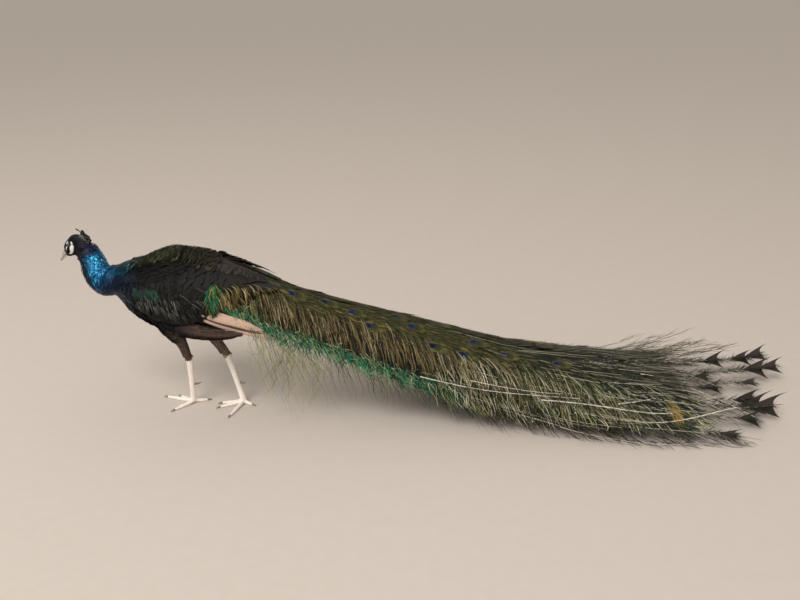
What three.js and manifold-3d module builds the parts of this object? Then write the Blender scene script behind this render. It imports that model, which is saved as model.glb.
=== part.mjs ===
// A life-size Indian peacock, walking with its head low and its train trailing behind it.
//
// Millimetres, +Z up. The bird faces -X, its left side is -Y, and y = 0 is its middle plane.
// It stands on its toes and on the end of its train, with the floor at z = 0.
// The body is modelled whole, and parted where a person would name its parts.

import * as THREE from "three";
import { mergeVertices } from "three/addons/utils/BufferGeometryUtils.js";
import Module from "manifold-3d";

const wasm = await Module();
wasm.setup();

// ---------------------------------------------------------------- driving dimensions

const GAP = 0.4; // left between two parts that meet
const LEFT = -1;
const RIGHT = 1;
const ACROSS = new THREE.Vector3(0, 1, 0);
const UP = new THREE.Vector3(0, 0, 1);

// The trunk without its wings, from breast to rump: x, height of its axis, half-width, half-height.
const TRUNK = [
  [-238, 350, 24, 18],
  [-224, 352, 42, 32],
  [-195, 346, 59, 51],
  [-150, 331, 72, 83],
  [-100, 322, 86, 104],
  [-50, 319, 90, 114],
  [0, 316, 91, 111],
  [30, 313, 90, 104],
  [63.6, 313, 88, 90],
];

// The smooth outside that the folded wings lie in, in the same terms.
const FOLDED = [
  [-215, 350, 56, 46],
  [-195, 346, 70, 60],
  [-150, 334, 88, 92],
  [-100, 325, 100, 114],
  [-50, 319, 105, 121],
  [0, 318, 106, 118],
  [60, 316, 104, 104],
  [120, 308, 97, 87],
  [170, 301, 86, 72],
  [207, 294, 76, 57],
  [224, 290, 68, 44],
];

// The folded wing on that outside: x, where it begins and ends round the body in degrees from the
// top, and its thickness. The long inner feathers end in a point over the rump.
const WING = [
  [-206, 78, 92, 3],
  [-190, 68, 108, 7],
  [-150, 62, 116, 9],
  [-90, 56, 121, 9],
  [-30, 44, 121, 9],
  [30, 26, 113, 9],
  [90, 13, 94, 9],
  [150, 8, 68, 8],
  [200, 7, 42, 6],
  [224, 14, 24, 4],
];

// The neck, from inside the head to inside the breast: x, y, z, half-width, half-depth.
const NECK = [
  [-306, 0, 446, 18, 20],
  [-291, 0, 434, 22, 29],
  [-275, 0, 406, 27, 31],
  [-269, 0, 379, 33, 36],
  [-256, 0, 358, 40, 41],
  [-238, 0, 351, 50, 43],
  [-210, 0, 348, 44, 36],
];
const NECK_PARTING = 0.36; // where the upper neck ends, as a share of the way down
const BREAST_PARTING = { x: -247, z: 349, lean: 19 }; // the plane between neck and trunk

// The head in its own axes, with -X along the bill and +Z up: x, y, z, half-width, half-height.
const HEAD = {
  middle: [-316, 0, 444],
  bowed: 50, // degrees that the bill points down
  turned: 15, // degrees that the face turns to the bird's left
};
const SKULL = [
  [35, 0, -4, 5, 6],
  [29, 0, -3, 13, 14.5],
  [17, 0, -1.5, 18, 20.5],
  [2, 0, -1, 19.5, 21.5],
  [-10, 0, -1, 18, 20.5],
  [-19, 0, -1, 14.5, 16.5],
  [-26, 0, -0.5, 9.8, 11],
  [-30, 0, 1, 6, 7],
];
const EYE = { x: 0.5, y: 12.5, z: 10.5, radius: 5.6 };
const UPPER_BILL = [
  [-22, 0, 7, 7, 6.5],
  [-30, 0, 7, 6, 5.2],
  [-37, 0, 6.2, 4.8, 4.2],
  [-44, 0, 4.6, 3.3, 3],
  [-49, 0, 2.4, 1.8, 1.7],
  [-51, 0, 0.6, 0.7, 0.6],
];
const LOWER_BILL = [
  [-22, 0, 0, 6, 3],
  [-31, 0, 0.4, 5, 2.6],
  [-39, 0, 0.6, 3.8, 2],
  [-46, 0, 0, 1.9, 1],
];
const CREST = { root: [14, 12], shortest: 29, longest: 47, from: 15, to: -58, thick: 3, plumes: 11 };

// Each leg: the feathered thigh, the bare shank's two ends, and how the toes are set. A toe is
// [degrees from straight ahead, positive to the bird's right, its length, how high its root is].
const LEGS = {
  left: {
    side: LEFT,
    thigh: [
      [-96, -46, 272, 26, 36],
      [-86, -50, 250, 27, 34],
      [-70, -47, 222, 22, 25],
      [-60, -40, 196, 15, 17],
      [-56, -33, 171, 11.5, 13],
      [-53, -28, 152, 10, 11.5],
    ],
    hock: [-49, -26, 147],
    foot: [-55, -4, 13],
    toes: [[37, 52], [20, 82], [-46, 58], [160, 36, 3]],
  },
  right: {
    side: RIGHT,
    thigh: [
      [-52, 40, 268, 26, 40],
      [-38, 45, 240, 27, 38],
      [-14, 42, 202, 21, 25],
      [8, 34, 174, 15, 18],
      [24, 27, 153, 12, 14],
      [34, 22, 140, 10.5, 12.5],
    ],
    hock: [40, 19, 136],
    foot: [79, -6, 13],
    toes: [[-72, 73], [-24, 62], [-4, 56], [-154, 28, 2]],
  },
};
const SHANK = { knuckle: 10, wide: 6.2, deep: 7.6, knob: 8.6 };
const ANKLE = 21; // height at which the shank ends on the foot
const TOE = { root: 6, tip: 3.6, height: 9 };
const CLAW = { length: 13, radius: 2.9 };
const SPUR = { at: 0.63, length: 18, radius: 4 }; // how far down the shank, and its size

// The bunch of long feathers behind the thigh, for the left side: x, y, z, half-width, half-height.
const FLANK = [
  [-62, -62, 250, 14, 28],
  [-20, -78, 246, 12, 22],
  [30, -98, 244, 8, 16],
  [70, -108, 247, 6, 12],
  [92, -110, 249, 4.5, 9],
  [100, -110, 249, 2, 4],
];

// The long outer wing feathers that show below the folded wing, for the left side: where the
// middle of the blade begins and ends.
const PRIMARIES = { root: [-46, -88, 310], tip: [186, -106, 240], wide: 56, thick: 6 };

// The train: x, height of its ridge, height of its side edge, half-width, and how far its
// underside bellies out below that edge, or is hollow when the number is negative.
const TRAIN = [
  [64.4, 396, 300, 89, 78],
  [100, 385, 275, 95, 50],
  [139, 366, 242, 97, 6],
  [200, 342, 216, 101, -18],
  [236, 325, 203, 106, -24],
  [346, 290, 173, 114, -26],
  [500, 250, 118, 124, -24],
  [634, 212, 81, 136, -20],
  [771, 172, 46, 151, -8],
  [938, 146, 20, 176, 18],
  [1104, 118, 14, 200, 19],
  [1326, 92, 14, 214, 19],
  [1420, 46, 18, 186, 12],
];
const TRAIN_PARTINGS = [64.4, 350, 700, 1060, 1420];
const TRAIN_NAMES = ["train_base", "train_middle", "train_rear", "train_end"];

// The crescent-tipped feathers that end the train: where each tip lies, and how wide it spreads.
const FISHTAILS = { count: 12, root: 1300, thick: 2.6, spread: 205, wide: 34, reach: 1530 };

// The tail proper, a fan of stiff feathers under the train.
const TAIL = { root: [150, 236], tip: [460, 126], narrow: 22, wide: 84, thick: 6 };

// Loose strands that hang from the train's side edge behind the legs.
const STRANDS = { from: 190, to: 376, at: 108, thick: 2, count: 6, low: 14 };

// ---------------------------------------------------------------- ways of making shapes

// A closed geometry as a solid that can be cut and joined.
function solidOf(geometry) {
  const bare = new THREE.BufferGeometry();
  bare.setAttribute("position", geometry.getAttribute("position").clone());
  bare.setIndex(geometry.index);
  const merged = mergeVertices(bare, 1e-3);
  return new wasm.Manifold(
    new wasm.Mesh({
      numProp: 3,
      vertProperties: new Float32Array(merged.attributes.position.array),
      triVerts: new Uint32Array(merged.index.array),
    }),
  );
}

// The geometry of a solid's largest body, without the crumbs that a cut can leave.
function geometryOf(solid) {
  const [largest] = solid.decompose().sort((a, b) => b.volume() - a.volume());
  const mesh = largest.getMesh();
  const geometry = new THREE.BufferGeometry();
  geometry.setAttribute("position", new THREE.BufferAttribute(mesh.vertProperties, 3));
  geometry.setIndex(new THREE.BufferAttribute(mesh.triVerts, 1));
  return geometry;
}

// Moves every vertex of a geometry to place(vertex).
function shaped(geometry, place) {
  const points = geometry.getAttribute("position");
  const vertex = new THREE.Vector3();
  for (let i = 0; i < points.count; i++) {
    points.setXYZ(i, ...place(vertex.fromBufferAttribute(points, i)).toArray());
  }
  return geometry;
}

// A closed geometry as a solid that is larger by the gap all round.
function grown(geometry) {
  const bare = new THREE.BufferGeometry();
  bare.setAttribute("position", geometry.getAttribute("position").clone());
  bare.setIndex(geometry.index);
  const skin = mergeVertices(bare, 1e-3);
  skin.computeVertexNormals();
  const normals = skin.getAttribute("normal");
  const outward = new THREE.Vector3();
  let i = 0;
  shaped(skin, (vertex) =>
    vertex.clone().addScaledVector(outward.fromBufferAttribute(normals, i++), GAP),
  );
  return solidOf(skin).add(solidOf(geometry));
}

// A geometry with the others cut out of it, each with the gap round it.
function without(geometry, ...others) {
  const cut = others.reduce((left, other) => left.subtract(grown(other)), solidOf(geometry));
  return geometryOf(cut);
}

// The same shape on the bird's other side.
function mirrored(geometry) {
  const other = geometry.clone().scale(1, -1, 1);
  const flat = other.index ? other.toNonIndexed() : other;
  const points = flat.getAttribute("position");
  const corners = [new THREE.Vector3(), new THREE.Vector3()];
  for (let i = 0; i < points.count; i += 3) {
    corners[0].fromBufferAttribute(points, i + 1);
    corners[1].fromBufferAttribute(points, i + 2);
    points.setXYZ(i + 1, ...corners[1].toArray());
    points.setXYZ(i + 2, ...corners[0].toArray());
  }
  return flat;
}

// A shape made for the left side, on the side it is wanted.
function onSide(side, geometry) {
  return side === "left" ? geometry : mirrored(geometry);
}

// A smooth curve through rows of numbers. The first number of a row is where it stands.
function through(rows) {
  const size = rows[0].length - 1;
  const curve = new THREE.CubicInterpolant(
    rows.map((row) => row[0]),
    rows.flatMap((row) => row.slice(1)),
    size,
    new Array(size),
  );
  return (at) => Array.from(curve.evaluate(at));
}

// A closed limb along a path. Its rows are x, y, z, half-width along `across`, half-depth.
// It is turned so that facets, not edges, face up and down.
function limb(rows, { around = 16, along = 12, across = ACROSS, from = 0, to = 1 } = {}) {
  const path = new THREE.CatmullRomCurve3(rows.map(([x, y, z]) => new THREE.Vector3(x, y, z)));
  const last = rows.length - 1;
  const sizes = through(rows.map(([, , , wide, deep], i) => [i / last, wide, deep]));
  const drum = new THREE.CylinderGeometry(1, 1, 1, around, along, false, Math.PI / around);
  return shaped(drum, ({ x, y, z }) => {
    const way = THREE.MathUtils.lerp(from, to, 0.5 - y);
    const [wide, deep] = sizes(way);
    const ahead = path.getTangent(way);
    const side = across.clone().addScaledVector(ahead, -across.dot(ahead)).normalize();
    const depth = ahead.clone().cross(side);
    return path
      .getPoint(way)
      .addScaledVector(side, x * wide)
      .addScaledVector(depth, z * deep);
  });
}

// A flat outline, given as a Shape in x and z, made into a plate centred on y = `at`.
function plate(outline, thick, at, curveSegments = 4) {
  const options = { depth: thick, bevelEnabled: false, curveSegments };
  return new THREE.ExtrudeGeometry(outline, options)
    .rotateX(Math.PI / 2)
    .translate(0, at + thick / 2, 0);
}

// ---------------------------------------------------------------- head and crest

// Sets a shape made in the head's own axes where the head is.
function onHead(geometry) {
  return geometry
    .rotateY(THREE.MathUtils.degToRad(-HEAD.bowed))
    .rotateZ(THREE.MathUtils.degToRad(HEAD.turned))
    .translate(...HEAD.middle);
}

function eyeball(side) {
  return onHead(
    new THREE.SphereGeometry(EYE.radius, 10, 7).translate(EYE.x, side * EYE.y, EYE.z),
  );
}

// The crest is a fan of plumes from one root, each ending in a small rounded vane.
function crestFan() {
  const [rootX, rootZ] = CREST.root;
  const outline = new THREE.Shape().moveTo(rootX - 4, rootZ - 6);
  for (let i = 0; i <= CREST.plumes * 2; i++) {
    const way = i / (CREST.plumes * 2);
    const angle = THREE.MathUtils.degToRad(THREE.MathUtils.lerp(CREST.to, CREST.from, way));
    const reach = THREE.MathUtils.lerp(CREST.longest, CREST.shortest, way);
    const out = reach - (i % 2 ? 0 : 3);
    outline.lineTo(rootX + out * Math.cos(angle), rootZ + out * Math.sin(angle));
  }
  return onHead(plate(outline, CREST.thick, 0));
}

function headParts() {
  const eyes = { left: eyeball(LEFT), right: eyeball(RIGHT) };
  const upper = onHead(limb(UPPER_BILL, { around: 10, along: 7 }));
  const lower = onHead(limb(LOWER_BILL, { around: 8, along: 4 }));
  const crest = crestFan();
  const skull = onHead(limb(SKULL, { around: 18, along: 10 }));
  const head = without(skull, eyes.left, eyes.right, upper, lower, crest);
  const parts = { head, eyes, upper, crest, skull };
  return { ...parts, lower: without(lower, upper) };
}

// ---------------------------------------------------------------- wings, flanks and thighs

const foldedAt = through(FOLDED);
const wingAt = through(WING);

// The folded wing is a curved shell: a box whose sides become the two faces and the rim.
function leftWing() {
  const [front, rear] = [WING[0][0], WING[WING.length - 1][0]];
  return shaped(new THREE.BoxGeometry(1, 1, 1, 15, 6, 1), ({ x, y, z }) => {
    const at = THREE.MathUtils.lerp(front, rear, x + 0.5);
    const [high, low, thick] = wingAt(at);
    const [middle, wide, tall] = foldedAt(at);
    const turn = THREE.MathUtils.degToRad(THREE.MathUtils.lerp(high, low, 0.5 - y));
    const rim = Math.abs(2 * y) ** 3;
    const sunk = z > 0 ? 0.45 * thick * rim : thick * (1 - 0.35 * rim);
    return new THREE.Vector3(
      at,
      -(wide - sunk) * Math.sin(turn),
      middle + (tall - sunk) * Math.cos(turn),
    );
  });
}

// The folded outer feathers: a long blade that narrows to a rounded tip.
function leftPrimaries() {
  const root = new THREE.Vector3(...PRIMARIES.root);
  const run = new THREE.Vector3(...PRIMARIES.tip).sub(root);
  const length = run.length();
  const half = PRIMARIES.wide / 2;
  const outline = new THREE.Shape().moveTo(0, -half * 0.6);
  outline.quadraticCurveTo(length * 0.5, -half, length * 0.86, -half * 0.55);
  outline.quadraticCurveTo(length, -half * 0.3, length, 0);
  outline.quadraticCurveTo(length * 0.93, half * 0.55, length * 0.7, half * 0.8);
  outline.quadraticCurveTo(length * 0.3, half, 0, half * 0.6);
  return plate(outline, PRIMARIES.thick, 0)
    .rotateY(-Math.asin(run.z / length))
    .rotateZ(Math.atan2(run.y, run.x))
    .translate(...root.toArray());
}

// ---------------------------------------------------------------- legs and feet

// A point on the shank's middle line, from 0 at the hock to 1 where the toes meet.
function onShank({ hock, foot }, way) {
  return hock.map((value, i) => THREE.MathUtils.lerp(value, foot[i], way));
}

// A bare shank, with a knuckle at its top. It stops short of the foot.
function shank(leg) {
  const { knuckle, wide, deep } = SHANK;
  const end = (leg.hock[2] - ANKLE - GAP) / (leg.hock[2] - leg.foot[2]);
  return limb(
    [
      [...onShank(leg, -0.06), knuckle * 0.6, knuckle * 0.7],
      [...onShank(leg, 0.02), knuckle * 0.86, knuckle * 1.1],
      [...onShank(leg, 0.14), wide * 1.15, deep * 1.15],
      [...onShank(leg, 0.5), wide, deep],
      [...onShank(leg, 0.84), wide * 1.05, deep],
      [...onShank(leg, end), wide * 1.3, deep * 1.1],
    ],
    { around: 10, along: 8 },
  );
}

// The spur points back from the shank, and a little inward.
function spur(leg) {
  const [x, y, z] = onShank(leg, SPUR.at);
  const { length, radius } = SPUR;
  const point = (out, rise) => [x + SHANK.deep + out, y - leg.side * out * 0.3, z + rise];
  return limb(
    [
      [...point(-2, 0), radius, radius],
      [...point(length * 0.5, -1), radius * 0.7, radius * 0.7],
      [...point(length, 3), 0.7, 0.7],
    ],
    { around: 6, along: 3, across: UP },
  );
}

// A limb that keeps to the floor, along a toe's direction from the foot's middle.
function alongToe({ foot }, turn, rows, around, along) {
  const angle = THREE.MathUtils.degToRad(turn);
  const ahead = new THREE.Vector3(-Math.cos(angle), Math.sin(angle), 0);
  const placed = rows.map(([out, height, wide, deep]) => [
    foot[0] + ahead.x * out,
    foot[1] + ahead.y * out,
    height,
    wide,
    deep,
  ]);
  const shape = limb(placed, { around, along, across: UP.clone().cross(ahead) });
  return shaped(shape, (vertex) => vertex.clone().setZ(Math.max(vertex.z, 0)));
}

function digit(leg, [turn, length, lift = 0]) {
  const { root, tip, height } = TOE;
  const rows = [
    [0, height + lift, root, root],
    [length * 0.3, height * 0.58 + lift * 0.6, root * 0.92, root],
    [length * 0.52, height * 0.48, root * 0.76, root * 0.84],
    [length * 0.62, height * 0.5, root * 0.86, root * 0.88],
    [length * 0.84, height * 0.38, tip, tip * 1.15],
    [length, height * 0.38, tip, tip],
  ];
  return alongToe(leg, turn, rows, 8, 5);
}

function claw(leg, [turn, length]) {
  const { length: nail, radius } = CLAW;
  const rows = [
    [length + GAP, 4.1, radius, radius * 1.1],
    [length + nail * 0.5, 4, radius * 0.7, radius * 0.85],
    [length + nail, 0.9, 0.6, 0.6],
  ];
  return alongToe(leg, turn, rows, 6, 2);
}

// The four toes joined under the end of the shank.
function footOf(leg) {
  const { wide, deep, knob } = SHANK;
  const top = (leg.hock[2] - ANKLE) / (leg.hock[2] - leg.foot[2]);
  const ankle = limb(
    [
      [...onShank(leg, top), wide * 1.3, deep * 1.1],
      [...onShank(leg, 1), knob, knob],
      [...onShank(leg, 1.06), knob * 0.6, knob * 0.6],
    ],
    { around: 10, along: 2 },
  );
  const joined = leg.toes.reduce((sum, toe) => sum.add(solidOf(digit(leg, toe))), solidOf(ankle));
  return geometryOf(joined);
}

// ---------------------------------------------------------------- train and tail

const trainAt = through(TRAIN);

// One length of the train: a low roof, wide where it lies on the floor.
function trainLength(from, to, along) {
  return shaped(new THREE.CylinderGeometry(1, 1, 1, 24, along), ({ x, y, z }) => {
    const at = THREE.MathUtils.lerp(from + GAP / 2, to - GAP / 2, 0.5 - y);
    const [ridge, edge, half, under] = trainAt(at);
    const rise = z > 0 ? (ridge - edge) * z : -under * z * z;
    const core = (ridge - edge - under) / 2;
    const height = edge + THREE.MathUtils.lerp(core, rise, Math.hypot(x, z));
    return new THREE.Vector3(at, half * x, Math.max(height, 0));
  });
}

// One crescent-tipped feather: a narrow vane that ends in two points with a hollow between.
function fishtail(length, half) {
  const neck = length - half * 1.5;
  const outline = new THREE.Shape().moveTo(0, -3);
  outline.lineTo(neck * 0.7, -5);
  outline.quadraticCurveTo(neck + half * 0.6, -half * 0.5, length, -half);
  outline.quadraticCurveTo(length - half * 0.9, -half * 0.1, length - half * 0.8, 0);
  outline.quadraticCurveTo(length - half * 0.9, half * 0.1, length, half);
  outline.quadraticCurveTo(neck + half * 0.6, half * 0.5, neck * 0.7, 5);
  outline.lineTo(0, 3);
  return outline;
}

function trainTips() {
  const { count, root, thick, spread, wide, reach } = FISHTAILS;
  const tips = [];
  for (let i = 0; i < count; i++) {
    const share = (2 * i) / (count - 1) - 1; // -1 on the bird's left, 1 on its right
    const start = new THREE.Vector3(root, share * spread * 0.72, 34 + 16 * (1 - share * share));
    const further = 1 - 0.32 * Math.abs(share) - (i % 3 === 1 ? 0.2 : 0);
    const end = new THREE.Vector3(
      THREE.MathUtils.lerp(root, reach, further),
      share * spread,
      52 + 34 * share + (i % 2 ? 14 : 0),
    );
    const run = end.clone().sub(start);
    const feather = plate(fishtail(run.length(), wide), thick, 0, 2)
      .rotateX(THREE.MathUtils.degToRad(90 - 28 * share + (i % 2 ? 14 : -14)))
      .rotateY(-Math.asin(run.z / run.length()))
      .rotateZ(Math.atan2(run.y, run.x))
      .translate(...start.toArray());
    tips.push(feather);
  }
  return tips;
}

function tailFan() {
  const [rootX, rootZ] = TAIL.root;
  const [tipX, tipZ] = TAIL.tip;
  const outline = new THREE.Shape().moveTo(0, -TAIL.narrow);
  const length = Math.hypot(tipX - rootX, tipZ - rootZ);
  outline.lineTo(length * 0.88, -TAIL.wide);
  outline.quadraticCurveTo(length * 1.05, 0, length * 0.88, TAIL.wide);
  outline.lineTo(0, TAIL.narrow);
  return plate(outline, TAIL.thick, 0)
    .rotateX(Math.PI / 2)
    .rotateY(Math.atan2(rootZ - tipZ, tipX - rootX))
    .translate(rootX, 0, rootZ);
}

// A comb of thin strands: long points that hang from a band under the train's edge.
function leftStrands() {
  const { from, to, at, thick, count, low } = STRANDS;
  const step = (to - from) / count;
  const edge = (x) => trainAt(x)[1];
  const outline = new THREE.Shape().moveTo(from, edge(from) + 16);
  for (let i = 0; i < count; i++) {
    const x = from + i * step;
    const longest = Math.sin((Math.PI * (i + 0.8)) / (count + 0.6));
    const foot = THREE.MathUtils.lerp(edge(x) - 30, low, longest);
    outline.lineTo(x + step * 0.1, edge(x) - 6);
    outline.lineTo(x + step * 0.42, foot);
    outline.lineTo(x + step * 0.5, foot);
    outline.lineTo(x + step * 0.9, edge(x) - 6);
  }
  outline.lineTo(to, edge(to) + 16);
  return plate(outline, thick, -at);
}

// ---------------------------------------------------------------- the whole bird

const PAINT = {
  skin: { color: 0x1c2340, roughness: 0.7, metalness: 0.1 },
  neck: { color: 0x1668a8, roughness: 0.45, metalness: 0.3 },
  body: { color: 0x14201e, roughness: 0.6, metalness: 0.1 },
  wing: { color: 0x1a1a1c, roughness: 0.55, metalness: 0.1 },
  primaries: { color: 0xc79a80, roughness: 0.7, metalness: 0 },
  brown: { color: 0x3a2c25, roughness: 0.8, metalness: 0 },
  train: { color: 0x3c4420, roughness: 0.6, metalness: 0.2 },
  strands: { color: 0x6e7c48, roughness: 0.8, metalness: 0 },
  shank: { color: 0xd8cbb8, roughness: 0.6, metalness: 0 },
  horn: { color: 0xb3a48c, roughness: 0.4, metalness: 0 },
  eye: { color: 0x2a1a10, roughness: 0.08, metalness: 0 },
};

const bird = new THREE.Group();

function add(name, geometry, paint) {
  const mesh = new THREE.Mesh(geometry, new THREE.MeshStandardMaterial(PAINT[paint]));
  mesh.name = name;
  bird.add(mesh);
  return geometry;
}

// Head and neck.
const face = headParts();
add("head", face.head, "skin");
add("bill_upper", face.upper, "horn");
add("bill_lower", face.lower, "horn");
add("eye_left", face.eyes.left, "eye");
add("eye_right", face.eyes.right, "eye");
const upperNeck = limb(NECK, { around: 18, along: 5, to: NECK_PARTING - 0.002 });
const lowerNeck = limb(NECK, { around: 18, along: 7, from: NECK_PARTING + 0.002 });
add("crest", without(face.crest, upperNeck), "neck");
add("neck_upper", without(upperNeck, face.skull, face.crest), "neck");

// The breast is one with the trunk, then parted by a thin leaning slab.
const trunkWhole = limb(
  TRUNK.map(([x, z, wide, tall]) => [x, 0, z, wide, tall]),
  { around: 22, along: 16 },
);
const parting = new THREE.BoxGeometry(GAP, 400, 400)
  .rotateY(THREE.MathUtils.degToRad(BREAST_PARTING.lean))
  .translate(BREAST_PARTING.x, 0, BREAST_PARTING.z);
const [neckSide, trunkSide] = solidOf(lowerNeck)
  .add(solidOf(trunkWhole))
  .subtract(solidOf(parting))
  .decompose()
  .sort((a, b) => a.volume() - b.volume());
add("neck_lower", geometryOf(neckSide), "neck");

// Each side's wing, primaries, flank and leg.
const TOES = ["inner", "middle", "outer", "hind"];
for (const side of ["left", "right"]) {
  const leg = LEGS[side];
  const wing = add(`wing_${side}`, onSide(side, leftWing()), "wing");
  const blade = onSide(side, leftPrimaries());
  add(`primaries_${side}`, without(blade, wing, trunkWhole), "primaries");
  const thigh = limb(leg.thigh, { around: 14, along: 7 });
  const flank = onSide(side, limb(FLANK, { around: 10, along: 6 }));
  add(`flank_${side}`, without(flank, trunkWhole, wing, thigh, blade), "brown");
  add(`thigh_${side}`, without(thigh, trunkWhole), "brown");
  const bone = shank(leg);
  add(`shank_${side}`, without(bone, thigh), "shank");
  add(`spur_${side}`, without(spur(leg), bone), "horn");
  add(`foot_${side}`, footOf(leg), "shank");
  TOES.forEach((toe, i) => add(`claw_${toe}_${side}`, claw(leg, leg.toes[i]), "horn"));
}
add("trunk", geometryOf(trunkSide), "body");

// The train in lengths, the tail under it, and the strands that hang from it.
const lengths = TRAIN_NAMES.map((name, i) => {
  const whole = trainLength(TRAIN_PARTINGS[i], TRAIN_PARTINGS[i + 1], i === 0 ? 9 : 4);
  const tips = i === TRAIN_NAMES.length - 1 ? trainTips() : [];
  const joined = tips.reduce((sum, tip) => sum.add(solidOf(tip)), solidOf(whole));
  add(name, tips.length ? geometryOf(joined) : whole, "train");
  return whole;
});
add("tail", without(tailFan(), lengths[0], lengths[1]), "brown");
for (const side of ["left", "right"]) {
  const comb = onSide(side, leftStrands());
  add(`strands_${side}`, without(comb, lengths[0], lengths[1]), "strands");
}

// The origin is on the floor under the middle of the whole bird.
const box = new THREE.Box3().setFromObject(bird);
bird.position.set(-(box.min.x + box.max.x) / 2, -(box.min.y + box.max.y) / 2, 0);

export default bird;
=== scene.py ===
# %% [markdown]
# # A walking peacock
# The solid model of the bird gives every size. This notebook dresses it: one skin over the
# body, real eyes and bill, and feathers made as thin meshes that lie along the body.
# First the frame of solids is loaded. Later every feather is clipped to a given room round it.

# %% Load the frame
import math
from typing import NamedTuple

import bpy
import numpy as np
from mathutils import Matrix, Vector
from mathutils.bvhtree import BVHTree


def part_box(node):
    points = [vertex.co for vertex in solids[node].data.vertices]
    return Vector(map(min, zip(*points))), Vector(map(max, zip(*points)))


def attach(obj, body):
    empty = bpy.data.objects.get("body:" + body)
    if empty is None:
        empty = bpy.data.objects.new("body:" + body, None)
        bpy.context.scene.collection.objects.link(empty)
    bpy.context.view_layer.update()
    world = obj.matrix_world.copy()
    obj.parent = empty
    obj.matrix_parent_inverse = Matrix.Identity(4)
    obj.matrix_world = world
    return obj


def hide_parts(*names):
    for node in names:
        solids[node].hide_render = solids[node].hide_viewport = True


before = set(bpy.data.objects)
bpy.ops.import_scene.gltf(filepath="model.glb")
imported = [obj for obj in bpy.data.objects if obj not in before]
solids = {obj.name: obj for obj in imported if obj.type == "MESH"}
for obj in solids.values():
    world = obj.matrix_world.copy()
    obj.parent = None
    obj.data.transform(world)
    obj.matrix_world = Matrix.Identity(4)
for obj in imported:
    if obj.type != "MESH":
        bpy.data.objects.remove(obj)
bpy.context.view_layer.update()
print("solids in the frame:", len(solids))

# %% [markdown]
# Lengths below are in millimetres, in the bird's own axes: x runs from the bill to the train,
# y to the bird's right, z up from the floor, with x = 0 under the shoulders. The front face
# of the train's first length is a plane that shows where those axes lie in the frame.

# %% The bird's own axes
TRAIN_START = 64.4
base_low, base_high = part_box("train_base")
BIRD = np.array([base_low.x - TRAIN_START / 1000, (base_low.y + base_high.y) / 2, 0.0])


def place(points):
    """Millimetres in the bird's axes to metres in the frame."""
    return np.asarray(points, float) / 1000 + BIRD


def unplace(points):
    """Metres in the frame to millimetres in the bird's axes."""
    return (np.asarray(points, float) - BIRD) * 1000


print("bird's axes start at", BIRD.round(4))

# %% [markdown]
# The camera stands to the bird's left, a little over the height of a table, and looks down
# on it at a slant. Its lens keeps the whole train in view.

# %% Camera
CAMERA_PLACE = (499.5, -1949.6, 1084.7)
CAMERA_DOWN = 22.0
FOCAL_LENGTH = 36.9
lens = bpy.data.cameras.new("camera")
lens.lens = FOCAL_LENGTH
lens.sensor_width = 36.0
camera = bpy.data.objects.new("camera", lens)
camera.location = place(CAMERA_PLACE)
camera.rotation_euler = (math.radians(90 - CAMERA_DOWN), 0, 0)
bpy.context.scene.collection.objects.link(camera)
bpy.context.scene.camera = camera
bpy.context.scene.view_settings.view_transform = "Standard"
print("camera at", tuple(round(v, 3) for v in camera.location))

# %% [markdown]
# A few small helpers serve the whole notebook. Colours are written as web colours and turned
# into the linear values that Blender mixes. A soft step blends from one zone to the next.

# %% Colour and blending helpers
rng = np.random.default_rng(11)


def tone(code):
    """A web colour such as "2f7f9e" as linear red, green and blue."""
    c = np.array([int(code[i:i + 2], 16) for i in (0, 2, 4)]) / 255
    return np.where(c <= 0.04045, c / 12.92, ((c + 0.055) / 1.055) ** 2.4)


def soft(low, high, value):
    """0 below low, 1 above high, and a smooth rise between."""
    t = np.clip((np.asarray(value, float) - low) / (high - low), 0, 1)
    return t * t * (3 - 2 * t)


def mix(a, b, amount):
    """a where amount is 0 and b where it is 1, for rows of colours or points."""
    amount = np.asarray(amount, float)[..., None]
    return a * (1 - amount) + b * amount


def unit(v):
    """Vectors at length 1."""
    return v / np.maximum(np.linalg.norm(v, axis=-1, keepdims=True), 1e-9)


print("neck blue as Blender mixes it:", tone("2f9ce2").round(3))

# %% [markdown]
# Every solid can be asked where a ray meets it, so that the skin and the feathers follow the
# modelled outline with no sizes written twice. The rays run in the bird's axes.

# %% Rays on meshes
def points_of(mesh):
    """A mesh's points in the bird's axes."""
    co = np.zeros(len(mesh.vertices) * 3)
    mesh.vertices.foreach_get("co", co)
    return unplace(co.reshape(-1, 3))


def tree_of(*meshes):
    """One search tree over several meshes."""
    points, faces, start = [], [], 0
    for mesh in meshes:
        points.append(points_of(mesh))
        faces += [tuple(i + start for i in p.vertices) for p in mesh.polygons]
        start += len(mesh.vertices)
    return BVHTree.FromPolygons(np.vstack(points).tolist(), faces)


print("points in the trunk's solid:", len(points_of(solids["trunk"].data)))

# %% [markdown]
# A feather's place is easiest to say as on a real bird: so far down the body, and so far round
# it. A trail is a smoothed line through a limb that turns such a place into a point in space,
# and finds where a ray from outside meets the skin there.

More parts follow.
